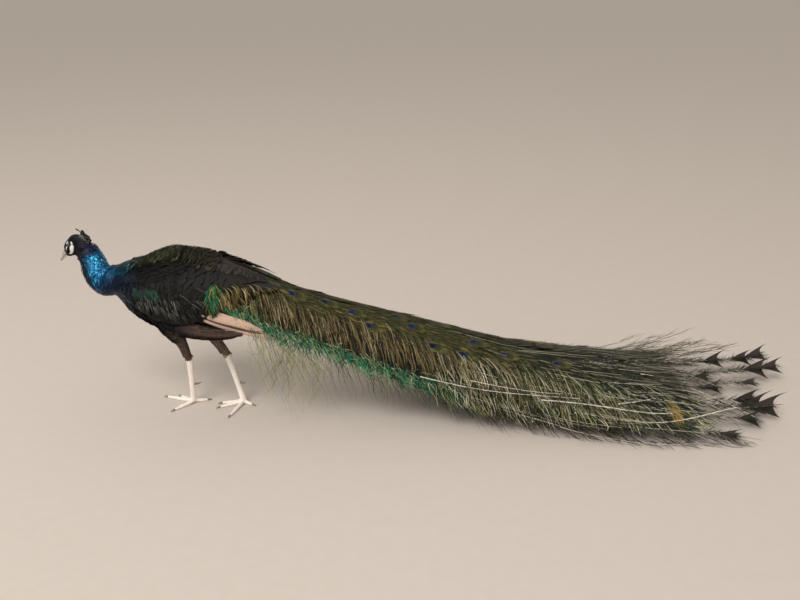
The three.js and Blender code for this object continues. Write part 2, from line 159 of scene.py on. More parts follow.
# %% Trails through the limbs
class Trail:
    """A line through a neck, trunk or leg, with places on it given by distance and turn.
    Turn 0 is the back of the limb, 90 the bird's left and 180 its front or belly."""

    def __init__(self, knots, step=2.0):
        knots = np.asarray(knots, float)
        chord = np.r_[0, np.cumsum(np.linalg.norm(np.diff(knots, axis=0), axis=1))]
        self.length = chord[-1]
        self.at = np.arange(0, self.length + step, step).clip(0, self.length)
        self.line = np.stack([np.interp(self.at, chord, knots[:, i]) for i in range(3)], 1)
        for _ in range(12):
            inner = (self.line[:-2] + self.line[2:]) / 2
            self.line[1:-1] = (self.line[1:-1] + inner) / 2
        self.run = unit(np.gradient(self.line, axis=0))
        self.back = unit(np.stack([-self.run[:, 2], 0 * self.at, self.run[:, 0]], 1))
        self.left = np.cross(self.run, self.back)

    def frame_at(self, along):
        """Centre, direction, back and left of the limb at distances along it."""
        return [np.stack([np.interp(along, self.at, a[:, i]) for i in range(3)], -1)
                for a in (self.line, self.run, self.back, self.left)]

    def outward(self, along, turn):
        """Centres, and the directions straight out at the given turns."""
        centre, _, back, left = self.frame_at(along)
        angle = np.radians(turn)[..., None]
        return centre, np.cos(angle) * back + np.sin(angle) * left

    def on(self, tree, along, turn, reach):
        """Where rays from outside meet the tree, and which rays met a face turned outward."""
        centre, out = self.outward(along, turn)
        shape = centre.shape
        origin = (centre + out * reach).reshape(-1, 3)
        heading = -out.reshape(-1, 3)
        hits = np.zeros_like(origin)
        met = np.zeros(len(origin), bool)
        for i, (o, d) in enumerate(zip(origin.tolist(), heading.tolist())):
            spot, normal, _, _ = tree.ray_cast(o, d, reach)
            if spot is not None:
                hits[i] = spot
                met[i] = np.dot(normal, d) < 0
        return hits.reshape(shape), met.reshape(shape[:-1])


# %% [markdown]
# ## One skin
# A real bird has a single skin from bill to toes. The solids are parted where a person names
# the parts, so their copies are merged again: a ring of rays wraps trunk and folded wings in
# one sleeve, and a voxel remesh fuses that with head, neck and legs. The result is smoothed
# and then drawn in by the depth of the feathers that will cover it.

# %% Lines through the body
SPINE = Trail([(-338, 0, 462), (-316, 0, 446), (-291, 0, 430), (-275, 0, 406),
               (-266, 0, 380), (-248, 0, 360), (-215, 0, 348), (-150, 0, 334),
               (-50, 0, 320), (60, 0, 315), (150, 0, 303), (232, 0, 290)])
LEG_LINES = {
    "left": Trail([(-98, -46, 290), (-86, -50, 250), (-70, -47, 222), (-60, -40, 196),
                   (-53, -28, 152), (-49, -26, 147)]),
    "right": Trail([(-56, 40, 290), (-38, 45, 240), (-14, 42, 202), (8, 34, 174),
                    (34, 22, 140), (40, 19, 136)]),
}
HOCK = {"left": 147.0, "right": 136.0}
HEAD_CENTRE = np.array([-316, 0, 444.0])
TURNED, BOWED = math.radians(15), math.radians(50)
HEAD_TURN = np.array(Matrix.Rotation(TURNED, 3, "Z") @ Matrix.Rotation(-BOWED, 3, "Y"))


def on_head(points):
    """Places in the head's axes, -x along the bill and z over the crown, to the bird's axes."""
    return np.asarray(points, float) @ HEAD_TURN.T + HEAD_CENTRE


def from_head(points):
    """Places in the bird's axes to the head's axes."""
    return (np.asarray(points, float) - HEAD_CENTRE) @ HEAD_TURN


print("spine", round(SPINE.length), "mm, legs",
      [round(t.length) for t in LEG_LINES.values()])

# %% [markdown]
# A solid is loose triangles, so each copy has its doubled corners merged before anything else.
# Two more helpers are met again and again below: one works on a whole object in edit mode, and
# one says where a finished piece belongs.

# %% Helpers for pieces
MERGE = 0.00002


def select_only(*objects):
    """Leave just these objects selected, the last of them active."""
    bpy.ops.object.select_all(action="DESELECT")
    for o in objects:
        o.select_set(True)
    bpy.context.view_layer.objects.active = objects[-1]


def edit_all(o, *steps):
    """Take edit-mode steps on the whole of an object."""
    select_only(o)
    bpy.ops.object.mode_set(mode="EDIT")
    bpy.ops.mesh.select_all(action="SELECT")
    for step in steps:
        step()
    bpy.ops.object.mode_set(mode="OBJECT")


def face_outward(o):
    edit_all(o, lambda: bpy.ops.mesh.normals_make_consistent(inside=False))


def shade_smooth(mesh):
    mesh.polygons.foreach_set("use_smooth", np.ones(len(mesh.polygons), bool))


def add_object(name, mesh):
    o = bpy.data.objects.new(name, mesh)
    bpy.context.scene.collection.objects.link(o)
    return o


def belongs(piece, slot, *nodes):
    """The piece rides on the bird and stands for these solids. slot is not used."""
    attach(piece, "root")
    if nodes:
        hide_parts(*nodes)


def merged_copy(name, node, swell=0.0):
    """A copy of a solid with its corners merged, swollen a little so that neighbours meet."""
    copy = add_object(name, solids[node].data.copy())
    steps = [lambda: bpy.ops.mesh.remove_doubles(threshold=MERGE)]
    if swell:
        steps.append(lambda: bpy.ops.transform.shrink_fatten(value=swell / 1000))
    edit_all(copy, *steps)
    return copy


print("helpers for pieces ready")

# %% [markdown]
# The wings lie folded against the trunk with gaps behind them, and a voxel remesh would keep
# those gaps. So trunk, wings and the root of the train are wrapped first in one closed sleeve
# of rings, which takes only their outermost surface.

# %% Sleeve round trunk and wings
def sleeve(name, nodes, first, last, step=5.0, sides=56, reach=170.0):
    """A closed sleeve wrapped round several solids, from one x to another."""
    tree = tree_of(*[solids[n].data for n in nodes])
    xs = np.linspace(first, last, int((last - first) / step))
    middle = np.interp(xs, SPINE.line[:, 0], SPINE.line[:, 2])
    turns = np.linspace(0, 2 * np.pi, sides, endpoint=False)
    rings = []
    for x, z in zip(xs, middle):
        ring = []
        for a in turns:
            out = np.array([0, -math.sin(a), math.cos(a)])
            start = np.array([x, 0, z]) + out * reach
            hit = tree.ray_cast(start.tolist(), (-out).tolist(), reach)
            ring.append(np.array(hit[0]) if hit[0] is not None else np.array([x, 0, z]) + out)
        rings.append(ring)
    rings = np.array(rings)
    grid = np.arange(rings.shape[0] * sides).reshape(-1, sides)
    a, b = grid[:-1], grid[1:]
    faces = np.stack([a, np.roll(a, -1, 1), np.roll(b, -1, 1), b], -1).reshape(-1, 4).tolist()
    faces += [grid[0][::-1].tolist(), grid[-1].tolist()]
    mesh = bpy.data.meshes.new(name)
    mesh.from_pydata(place(rings.reshape(-1, 3)).tolist(), [], faces)
    o = add_object(name, mesh)
    face_outward(o)
    return o


BREAST, RUMP = -236, 221
print("the sleeve will be", RUMP - BREAST, "mm long")

# %% [markdown]
# Copies of the fleshy solids are joined to the sleeve and fused. The voxels are small enough
# to keep the toes apart.

# %% Fuse the flesh
VOXEL = 1.7
OVERLAP = 0.6
flesh = ["head", "neck_upper", "neck_lower", "trunk", "thigh_left", "thigh_right",
         "shank_left", "shank_right", "foot_left", "foot_right"]
parts = [merged_copy("flesh_" + n, n, OVERLAP) for n in flesh]
parts.append(sleeve("flesh_trunk", ["trunk", "wing_left", "wing_right", "train_base"], BREAST, RUMP))
select_only(*parts)
bpy.ops.object.join()
skin = bpy.context.view_layer.objects.active
skin.name = skin.data.name = "skin"
fuse = skin.modifiers.new("fuse", "REMESH")
fuse.mode = "VOXEL"
fuse.voxel_size = VOXEL / 1000
bpy.ops.object.modifier_apply(modifier="fuse")
print("fused skin:", len(skin.data.polygons), "faces")

# %% [markdown]
# The colours of the bird belong to its body, so one function gives the colour of any point,
# and the skin and every small feather read the same markings. The face is black with two
# bare white patches: a stripe over the eye to the bill, and a broad crescent under the eye.
# Each patch is a band of changing width around a short line, seen square on to the side of
# the head.

# %% Markings of the head
BROW_SPOT = [(3.2, 15.9, 1.1), (0.2, 16.6, 2.4), (-3.8, 15.3, 1.5)]
BROW_STRIPE = [(-7.4, 12.0, 0.8), (-13.7, 10.7, 1.3), (-16.5, 7.4, 1.1)]
CRESCENT = [(8.6, 10.4, 1.1), (5.4, 6.6, 2.8), (0.4, 3.4, 5.0), (-4.6, 0.6, 5.0), (-9.0, -2.4, 4.4),
            (-13.9, -4.6, 3.5), (-18.2, -4.7, 2.0), (-19.6, -2.4, 1.0)]
EYE_PLACE = np.array([0.5, 12.5, 10.5])
EYE_RADIUS = 5.6
EYE_OUT = np.array([-0.1, 1.0, 0.35])
FACE = 40


def band(points, line):
    """1 inside a band of changing half-width around a line of x, z and half-width, else 0."""
    line = np.array(line, float)
    best = np.full(len(points), 1e9)
    for a, b in zip(line[:-1], line[1:]):
        ab = b[:2] - a[:2]
        t = np.clip(((points[:, [0, 2]] - a[:2]) @ ab) / (ab @ ab), 0, 1)
        near = a[:2] + t[:, None] * ab
        gap = np.linalg.norm(points[:, [0, 2]] - near, axis=1)
        best = np.minimum(best, gap - (a[2] + t * (b[2] - a[2])))
    return 1 - soft(-0.5, 0.5, best)


def bare_white(head_points):
    """Where the face is bare and white, on either side of the head."""
    side = soft(5, 8, np.abs(head_points[:, 1]))
    white = np.zeros(len(head_points))
    for line in (BROW_SPOT, BROW_STRIPE, CRESCENT):
        white = np.maximum(white, band(head_points, line))
    return white * side


def from_centre(head_points):
    """How far points lie from the middle of the head."""
    return np.linalg.norm(head_points, axis=1)


def head_tone(head_points):
    """Black plush, bluer over the crown and towards the nape."""
    x, y, z = head_points.T
    c = mix(tone("101214"), tone("2a2b3c"), soft(9, 17, z - 0.25 * np.abs(y)))
    return mix(c, tone("20222e"), soft(12, 26, x) * 0.7)


print("face marked within", FACE, "mm of the head's middle")

# %% [markdown]
# Neck and body are marked by distance along the spine and turn round it, as a painter would
# block them in: nape, throat, breast, mantle, wing and belly, each blended into the next.

# %% Markings of neck and body


def spine_place(points):
    """Distance along the spine and turn round it for points on the body."""
    gap = np.linalg.norm(points[:, None, :] - SPINE.line[None, ::2], axis=2)
    pick = gap.argmin(1) * 2
    out = points - SPINE.line[pick]
    run = np.einsum("ij,ij->i", out, SPINE.run[pick])
    back = np.einsum("ij,ij->i", out, SPINE.back[pick])
    left = np.einsum("ij,ij->i", out, SPINE.left[pick])
    return SPINE.at[pick] + run, np.degrees(np.arctan2(left, back))


def neck_tone(along, turn):
    """From violet nape through bright turquoise and cobalt to the dark breast and mantle."""
    t = np.abs(turn)
    nape = mix(tone("1c1c44"), tone("16191e"), soft(50, 85, t))
    c = mix(nape, tone("2f9ce2"), soft(56, 70, along - 8 * np.cos(np.radians(t))))
    # Painted sheen: the sides of the upper neck are painted a brighter turquoise.
    c = mix(c, tone("38abf0"), soft(66, 86, along) * (1 - soft(50, 110, np.abs(t - 80))))
    c = mix(c, tone("185484"), soft(120, 144, along))
    c = mix(c, tone("173c66"), soft(140, 160, along))
    # Painted shade: the front of the neck is painted dark navy.
    front = soft(104, 130, t) * (1 - 0.6 * soft(112, 140, along))
    c = mix(c, tone("121f3c"), front)
    top = 1 - soft(35, 80, t)
    c = mix(c, tone("1d5a6c"), soft(132, 160, along) * top)
    c = mix(c, tone("131f36"), soft(146, 172, along) * soft(35, 60, t) * (1 - soft(120, 150, t)))
    return mix(c, tone("163054"), soft(160, 190, along) * soft(125, 160, t))


def body_tone(points):
    """The plumage colour at any point of head, neck, trunk and thighs."""
    h = from_head(points)
    along, turn = spine_place(points)
    t = np.abs(turn)
    c = neck_tone(along, turn)
    mantle = mix(tone("28403a"), tone("4a4c33"), soft(196, 230, along))
    black = mix(tone("14181f"), tone("1d1d1b"), soft(215, 250, along))
    belly = mix(tone("15171d"), tone("26241f"), soft(300, 380, along))
    body = mix(mantle, black, soft(21, 31, t))
    body = mix(body, belly, soft(112, 130, t))
    c = mix(c, body, soft(182, 216, along))
    head_near = 1 - soft(26, 36, np.linalg.norm(h * [0.8, 1, 1], axis=1))
    c = mix(c, head_tone(h), head_near)
    thigh = 1 - soft(215, 262, points[:, 2])
    # Painted light: the right thigh is painted a lighter brown than the left.
    brown = mix(tone("4f433b"), tone("806c61"), soft(-10, 10, points[:, 1]))
    return mix(c, brown, thigh)


def above_hock(points):
    """How high points lie over the hock of their own leg."""
    return points[:, 2] - np.where(points[:, 1] < 0, HOCK["left"], HOCK["right"])


def bare_leg(points):
    """1 on shank and foot, 0 above the hock."""
    return 1 - soft(-3, 6, above_hock(points))


def skin_tone(points):
    """The markings with the bare parts: white face patches and bone-coloured legs."""
    h = from_head(points)
    c = mix(body_tone(points), tone("e9e6e0"), bare_white(h) * (from_centre(h) < FACE))
    return mix(c, tone("fff4ea"), bare_leg(points))


print("bare leg starts", HOCK, "mm up")

# %% [markdown]
# The fused skin has the stair marks of its voxels. A smooth modifier takes them off, held back
# on the thin feet. Then each point is drawn in along its normal by the feather depth: almost
# nothing on face and feet, and most on breast and thighs.

# %% Smooth the skin and draw it in
def normals_of(mesh):
    n = np.zeros(len(mesh.vertices) * 3)
    mesh.vertices.foreach_get("normal", n)
    return n.reshape(-1, 3)


def move_points(mesh, points):
    mesh.vertices.foreach_set("co", place(points).ravel().astype(np.float32))
    mesh.update()


def weigh(o, name, weights):
    """A vertex group with a weight for every point, in 21 steps."""
    group = o.vertex_groups.new(name=name)
    steps = np.round(np.clip(weights, 0, 1) * 20).astype(int)
    for step in range(1, 21):
        members = np.nonzero(steps == step)[0]
        if len(members):
            group.add(members.tolist(), step / 20, "REPLACE")


def apply(o, name):
    """Apply a modifier to an object."""
    select_only(o)
    bpy.ops.object.modifier_apply(modifier=name)


def feather_depth(points):
    """How far the skin lies under the outline, in millimetres."""
    h = from_head(points)
    depth = 5.5 + 3.0 * soft(-270, -200, points[:, 0])
    head_near = 1 - soft(24, 46, from_centre(h))
    depth = depth * (1 - head_near) + 1.7 * head_near
    depth = np.where(bare_white(h) * (from_centre(h) < FACE) > 0.3, 0.9, depth)
    leg = np.clip(0.9 + 0.085 * above_hock(points), 0.9, 9)
    depth = np.minimum(depth, leg)
    return depth * (1 - bare_leg(points)) + 0.1 * bare_leg(points)


STAIRS = 0.5
points = points_of(skin.data)
fine = bare_leg(points) + (from_centre(from_head(points)) < 34)
weigh(skin, "soften", 1 - 0.75 * fine.clip(0, 1))
soften = skin.modifiers.new("soften", "SMOOTH")
soften.factor = 0.6
soften.iterations = 10
soften.vertex_group = "soften"
apply(skin, "soften")
points = points_of(skin.data)
points -= normals_of(skin.data) * (feather_depth(points)[:, None] + STAIRS)
points[:, 2] = points[:, 2].clip(0.0)
move_points(skin.data, points)
print("skin drawn in by up to", feather_depth(points).max().round(1), "mm")

# %% [markdown]
# Under the feathers the skin needs few faces, so a decimate modifier thins it there. Head,
# shanks and feet keep theirs.

# %% Thin the hidden skin
weigh(skin, "dense", ((from_centre(from_head(points)) > 42) & (points[:, 2] > 160)).astype(float))
thin = skin.modifiers.new("thin", "DECIMATE")
thin.ratio = 0.28
thin.vertex_group = "dense"
thin.vertex_group_factor = 3.0
apply(skin, "thin")
print("skin thinned:", len(skin.data.polygons), "faces")

# %% [markdown]
# The face is where a viewer looks first. The faces of the skin round each eye are cut finer,
# and then the points are moved: on to a sphere just outside the eyeball for the two lids, with
# an almond opening between them, a fold behind the lids, and a shallow lore in front.

# %% Lids and face
LID, SUNK, FOLD = 0.9, 1.6, 0.35
OPENING = (43.0, 27.0)
LORE, PATCH_RISE = 0.7, 0.25


def refine(o, centre, radius):
    """Subdivide the faces of a mesh within a radius of a place in the bird's axes."""
    select_only(o)
    near = np.linalg.norm(points_of(o.data) - centre, axis=1) < radius
    bpy.ops.object.mode_set(mode="EDIT")
    bpy.ops.mesh.select_mode(type="FACE")
    bpy.ops.mesh.select_all(action="DESELECT")
    bpy.ops.object.mode_set(mode="OBJECT")
    corners = np.array([near[list(p.vertices)].all() for p in o.data.polygons])
    o.data.polygons.foreach_set("select", corners)
    bpy.ops.object.mode_set(mode="EDIT")
    bpy.ops.mesh.subdivide(number_cuts=1, smoothness=0.4)
    bpy.ops.mesh.quads_convert_to_tris()
    bpy.ops.object.mode_set(mode="OBJECT")


def shape_lids(points, side):
    """Draw the points round one eye on to its lids. side is -1 on the left and 1 on the right."""
    mirror = [1, side, 1]
    eye = on_head(EYE_PLACE * mirror)
    out = unit(on_head(EYE_PLACE * mirror + EYE_OUT * mirror) - eye)
    fore = unit(on_head(EYE_PLACE * mirror + np.array([-1, 0, 0])) - eye)
    fore = unit(fore - out * (fore @ out))
    rise = np.cross(fore, out)
    away = points - eye
    far = np.linalg.norm(away, axis=1)
    flat = np.stack([away @ fore, away @ rise], 1)
    lean = np.degrees(np.arctan2(np.linalg.norm(flat, axis=1), away @ out))
    bearing = unit(flat)
    opening = 1 / np.sqrt((bearing[:, 0] / OPENING[0]) ** 2 + (bearing[:, 1] / OPENING[1]) ** 2)
    lid = soft(-2.5, 2.5, lean - opening)
    target = (EYE_RADIUS - SUNK) * (1 - lid) + (EYE_RADIUS + LID) * lid
    pull = (1 - soft(6.9, 10.0, far)) * (lean < 100)
    points += (away / far[:, None]) * ((target - far) * pull)[:, None]
    fold = np.exp(-((lean - opening - 34) / 9) ** 2) * (1 - soft(8, 11, far)) * (lean < 100)
    points -= (away / far[:, None]) * (FOLD * fold)[:, None]


for side in (-1, 1):
    for radius in (15, 10.5):
        refine(skin, on_head(EYE_PLACE * [1, side, 1]), radius)
points = points_of(skin.data)
for side in (-1, 1):
    shape_lids(points, side)
h = from_head(points)
lore = np.exp(-(((h[:, 0] + 17) / 5) ** 2 + ((h[:, 2] - 4.5) / 3.2) ** 2))
points -= normals_of(skin.data) * (LORE * lore * soft(3, 7, np.abs(h[:, 1])))[:, None]
white = bare_white(h) * (from_centre(h) < FACE)
points += normals_of(skin.data) * (PATCH_RISE * white)[:, None]
move_points(skin.data, points)
print("skin with lids:", len(skin.data.polygons), "faces")

# %% [markdown]
# Every surface of the bird takes its colour from an attribute written by the markings, and its
# fine structure from procedural nodes. One node group serves all plumage: it breaks the colour
# up with small clouds, and gives the ribs of a vane as height along the feather's own map.

# %% Node helpers
def socket(group, name, kind, way, value=None):
    s = group.interface.new_socket(name=name, in_out=way, socket_type=kind)
    if value is not None:
        s.default_value = value


def texture(nodes, link, kind, scale, detail=None):
    """A procedural texture that is fixed to the bird by its Object coordinates."""
    grain = nodes.new(kind)
    grain.inputs["Scale"].default_value = scale
    if detail is not None:
        grain.inputs["Detail"].default_value = detail
    link(nodes.new("ShaderNodeTexCoord").outputs["Object"], grain.inputs["Vector"])
    return grain


def blend(nodes, kind, factor):
    """A mixer of two colours at a fixed strength."""
    mixer = nodes.new("ShaderNodeMix")
    mixer.data_type = "RGBA"
    mixer.blend_type = kind
    mixer.inputs["Factor"].default_value = factor
    return mixer


def brightened(nodes, link, colour, amount):
    """A colour multiplied by one number."""
    mixer = blend(nodes, "MULTIPLY", 1)
    grey = nodes.new("ShaderNodeCombineColor")
    for i in range(3):
        link(amount, grey.inputs[i])
    link(colour, mixer.inputs["A"])
    link(grey.outputs["Color"], mixer.inputs["B"])
    return mixer.outputs["Result"]


def raised(nodes, link, shader, height, strength, distance):
    """Height as bump on a shader."""
    ridge = nodes.new("ShaderNodeBump")
    ridge.inputs["Strength"].default_value = strength
    ridge.inputs["Distance"].default_value = distance
    link(height, ridge.inputs["Height"])
    link(ridge.outputs["Normal"], shader.inputs["Normal"])


print("helpers for nodes ready")

# %% [markdown]
# Barbs run out from a feather's shaft at a slant. The group finds them by plain arithmetic on
# the map Vane: the distance from the shaft is taken off the place along it, and a sine of the
# rest gives one ridge for each barb.

# %% Barb group
FULL_TURN = 6.283


def barb_group():
    """Colour and height of a vane: Vane map, with barbs running out from the shaft."""
    g = bpy.data.node_groups.new("barbs", "ShaderNodeTree")
    socket(g, "Tone", "NodeSocketColor", "INPUT", (0.5, 0.5, 0.5, 1))
    socket(g, "Clouds", "NodeSocketFloat", "INPUT", 0.3)
    socket(g, "Barbs", "NodeSocketFloat", "INPUT", 30.0)
    socket(g, "Contrast", "NodeSocketFloat", "INPUT", 0.3)
    socket(g, "Color", "NodeSocketColor", "OUTPUT")
    socket(g, "Height", "NodeSocketFloat", "OUTPUT")
    n, link = g.nodes, g.links.new
    inside, outside = n.new("NodeGroupInput"), n.new("NodeGroupOutput")
    cloud = texture(n, link, "ShaderNodeTexNoise", 160, 3)
    vane = n.new("ShaderNodeUVMap")
    vane.uv_map = "Vane"
    split = n.new("ShaderNodeSeparateXYZ")
    link(vane.outputs["UV"], split.inputs["Vector"])

    def maths(kind, a, b=None):
        node = n.new("ShaderNodeMath")
        node.operation = kind
        for i, value in enumerate((a, b)):
            if value is None:
                continue
            if isinstance(value, (int, float)):
                node.inputs[i].default_value = value
            else:
                link(value, node.inputs[i])
        return node.outputs[0]

    from_shaft = maths("ABSOLUTE", maths("SUBTRACT", split.outputs["X"], 0.5))
    rank = maths("SUBTRACT", split.outputs["Y"], maths("MULTIPLY", from_shaft, 0.5))
    wave = maths("SINE", maths("MULTIPLY", maths("MULTIPLY", rank, inside.outputs["Barbs"]), FULL_TURN))
    ribs = maths("ADD", maths("MULTIPLY", wave, 0.5), 0.5)
    depth = maths("MULTIPLY", maths("SUBTRACT", ribs, 0.5), inside.outputs["Contrast"])
    cloudy = maths("MULTIPLY", maths("SUBTRACT", cloud.outputs["Fac"], 0.5), inside.outputs["Clouds"])
    bright = maths("ADD", maths("ADD", depth, cloudy), 1.0)
    link(brightened(n, link, inside.outputs["Tone"], bright), outside.inputs["Color"])
    link(ribs, outside.inputs["Height"])
    return g


BARBS = barb_group()
print("node group", BARBS.name, "has", len(BARBS.nodes), "nodes")

# %% [markdown]
# Two makers of finishes follow, one for plumage and one for skin, scale and horn. Both start
# from the shader with its even values set on its own sockets, and both read the attribute tone.

# %% Finishes
def new_material(name, rough, metal=0.0, coat=0.0, specular=0.5):
    m = bpy.data.materials.new(name)
    m.use_nodes = True
    shader = m.node_tree.nodes["Principled BSDF"]
    shader.inputs["Roughness"].default_value = rough
    shader.inputs["Metallic"].default_value = metal
    shader.inputs["Coat Weight"].default_value = coat
    shader.inputs["Coat Roughness"].default_value = 0.08
    shader.inputs["Specular IOR Level"].default_value = specular
    return m, m.node_tree.nodes, m.node_tree.links.new, shader


def tone_source(nodes):
    """The colour that was written on the mesh."""
    source = nodes.new("ShaderNodeAttribute")
    source.attribute_name = "tone"
    return source.outputs["Color"]


FINE_BUMP = 0.0004


def plumage(name, rough=0.5, metal=0.0, clouds=0.4, barbs=26.0, contrast=0.35, bump=0.3, specular=0.5):
    """A feather material: the tone attribute, broken by clouds and barbs."""
    m, nodes, link, shader = new_material(name, rough, metal, specular=specular)
    group = nodes.new("ShaderNodeGroup")
    group.node_tree = BARBS
    group.inputs["Clouds"].default_value = clouds
    group.inputs["Barbs"].default_value = barbs
    group.inputs["Contrast"].default_value = contrast
    link(tone_source(nodes), group.inputs["Tone"])
    link(group.outputs["Color"], shader.inputs["Base Color"])
    raised(nodes, link, shader, group.outputs["Height"], bump, FINE_BUMP)
    return m


def surface(name, rough, scale, bump, distance=FINE_BUMP, coat=0.0, kind="noise", patchy=0.25):
    """A skin or horn material: the tone attribute, with pores, scales or grain as bump."""
    m, nodes, link, shader = new_material(name, rough, coat=coat)
    if kind == "scales":
        height = texture(nodes, link, "ShaderNodeTexVoronoi", scale).outputs["Distance"]
    else:
        height = texture(nodes, link, "ShaderNodeTexNoise", scale, 5).outputs["Fac"]
    cloud = texture(nodes, link, "ShaderNodeTexNoise", scale / 5, 4)
    dirt = nodes.new("ShaderNodeMapRange")
    dirt.inputs["To Min"].default_value = 1 - patchy
    dirt.inputs["To Max"].default_value = 1 + patchy
    link(cloud.outputs["Fac"], dirt.inputs["Value"])
    link(brightened(nodes, link, tone_source(nodes), dirt.outputs["Result"]), shader.inputs["Base Color"])
    raised(nodes, link, shader, height, bump, distance)
    return m


def write_tones(mesh, tones):
    """Colours for every point, in the attribute that the materials read."""
    layer = mesh.attributes.get("tone") or mesh.attributes.new("tone", "FLOAT_COLOR", "POINT")
    rgba = np.ones((len(mesh.vertices), 4), np.float32)
    rgba[:, :3] = np.clip(tones, 0, 1)
    layer.data.foreach_set("color", rgba.ravel())


print("finishes can be made")

# %% [markdown]
# The skin has three finishes. Under the feathers it is downy, the face patches are bare skin
# with fine pores, and shank and toes carry scales.

# %% Finish the skin
points = points_of(skin.data)
write_tones(skin.data, skin_tone(points))
skin.data.materials.clear()
skin.data.materials.append(surface("down", 0.8, 900, 0.5))
skin.data.materials.append(surface("bare_skin", 0.55, 1500, 0.35, 0.0002, patchy=0.08))
skin.data.materials.append(surface("leg_scales", 0.5, 420, 0.8, 0.0006, kind="scales", patchy=0.16))
middles = unplace([p.center for p in skin.data.polygons])
h = from_head(middles)
kind = np.where(bare_leg(middles) > 0.5, 2, 0)
kind[(from_centre(h) < FACE) & (bare_white(h) > 0.5)] = 1
skin.data.polygons.foreach_set("material_index", kind.astype(np.int32))
shade_smooth(skin.data)
skin.data.update()
belongs(skin, "skin", *flesh, "wing_left", "wing_right")
SKIN_TREE = tree_of(skin.data)
print("finishes on the skin:", np.bincount(kind).tolist())

# %% [markdown]
# ## Eyes, bill, claws and spurs
# The hard parts stay separate. The eye is a ball with a domed, wet front: dark brown iris and
# round black pupil, painted by the angle from its own axis.

# %% Eyes
DOME = 0.45


def eye_material():
    """A wet brown surface with fine streaks in the iris."""
    m, nodes, link, shader = new_material("eye", 0.12, coat=1.0)
    streaks = texture(nodes, link, "ShaderNodeTexNoise", 2600)
    tint = blend(nodes, "OVERLAY", 0.25)
    link(tone_source(nodes), tint.inputs["A"])
    link(streaks.outputs["Fac"], tint.inputs["B"])
    link(tint.outputs["Result"], shader.inputs["Base Color"])
    return m


def make_eye(side, mirror, material):
    """The ball is a subdivided icosphere with its front drawn out to a low dome."""
    bpy.ops.object.select_all(action="DESELECT")
    eye = on_head(EYE_PLACE * [1, mirror, 1])
    bpy.ops.mesh.primitive_ico_sphere_add(subdivisions=5, radius=EYE_RADIUS / 1000, location=place(eye))
    ball = bpy.context.object
    ball.name = ball.data.name = f"eyeball_{side}"
    bpy.ops.object.transform_apply(location=True)
    out = unit(on_head(EYE_OUT * [1, mirror, 1]) - HEAD_CENTRE)
    points = points_of(ball.data)
    away = (points - eye) / EYE_RADIUS
    lean = np.degrees(np.arccos(np.clip(away @ out, -1, 1)))
    points += out * (DOME * (1 - soft(0, 44, lean)))[:, None]
    move_points(ball.data, points)
    iris = mix(tone("1d120b"), tone("2e1b0e"), soft(14, 26, lean))
    iris = mix(iris, tone("1a1512"), soft(36, 41, lean))
    write_tones(ball.data, mix(tone("020202"), iris, soft(16.5, 18.5, lean)))
    shade_smooth(ball.data)
    ball.data.materials.append(material)
    belongs(ball, "eye", f"eye_{side}")


wet = eye_material()
for side, mirror in (("left", -1), ("right", 1)):
    make_eye(side, mirror, wet)
print("eyes made")

# %% [markdown]
# Bill halves start from copies of their solids, smoothed by a subdivision surface. The upper
# one then gets its nostril, a slit pressed in near the base.

# %% Bill
HORN = surface("horn", 0.34, 700, 0.2, 0.0002, coat=0.25, patchy=0.2)


def smooth_copy(node, levels):
    """A piece of horn rounded from the copy of its solid."""
    piece = merged_copy(node + "_horn", node)
    piece.data.name = piece.name
    round_off = piece.modifiers.new("round_off", "SUBSURF")
    round_off.levels = round_off.render_levels = levels
    apply(piece, "round_off")
    shade_smooth(piece.data)
    piece.data.materials.clear()
    piece.data.materials.append(HORN)
    belongs(piece, "horn", node)
    return piece


NOSTRIL = (-30.5, 9.2)
for node in ("bill_upper", "bill_lower"):
    bill = smooth_copy(node, 3)
    points = points_of(bill.data)
    h = from_head(points)
    if node == "bill_upper":
        slit = np.exp(-(((h[:, 0] - NOSTRIL[0]) / 2.3) ** 2 + ((h[:, 2] - NOSTRIL[1]) / 0.8) ** 2))
        slit *= soft(1.5, 3, np.abs(h[:, 1]))
        points -= normals_of(bill.data) * (1.5 * slit)[:, None]
        move_points(bill.data, points)
    c = mix(tone("bcb1a6"), tone("6a625a"), soft(-40, -50, h[:, 0]) * 0.5)
    # Painted shadow: the base of the bill, under the forehead feathers, is painted darker.
    c = mix(c, tone("4b463f"), soft(-27, -23, h[:, 0]) * 0.55)
    if node == "bill_upper":
        # Painted shade: the nostril slit is painted nearly black.
        c = mix(c, tone("2a2622"), slit * 0.9)
        c = mix(c, tone("8f867c"), soft(11.5, 13.5, h[:, 2]))
    else:
        # Painted shade: the underside of the lower half is painted darker.
        c = mix(c, tone("3a352e"), soft(-0.5, -2.5, h[:, 2]) * 0.7)
    write_tones(bill.data, c)
print("bill made, nostril at", NOSTRIL, "on the head")

# %% [markdown]
# Claws and spurs are the same horn with less to show: brown at the root and nearly black
# towards the low tip.

# %% Claws and spurs
claws = [f"claw_{toe}_{side}" for side in ("left", "right") for toe in ("inner", "middle", "outer", "hind")]
for node in claws + ["spur_left", "spur_right"]:
    piece = smooth_copy(node, 2)
    z = points_of(piece.data)[:, 2]
    tip = soft(0.3, 1.0, (z.max() - z) / np.ptp(z))
    write_tones(piece.data, mix(tone("8c7f6c"), tone("3d352c"), tip * 0.7))
print("claws and spurs made:", len(claws) + 2)

# %% [markdown]
# ## Feathers
# A bird's coat is thousands of small vanes that overlap like roof tiles. Hair or instances
# would draw them fast, but neither is a mesh that another program can use. So each vane here
# is a thin strip: a row of points along the feather, a few points across, arched over its shaft.

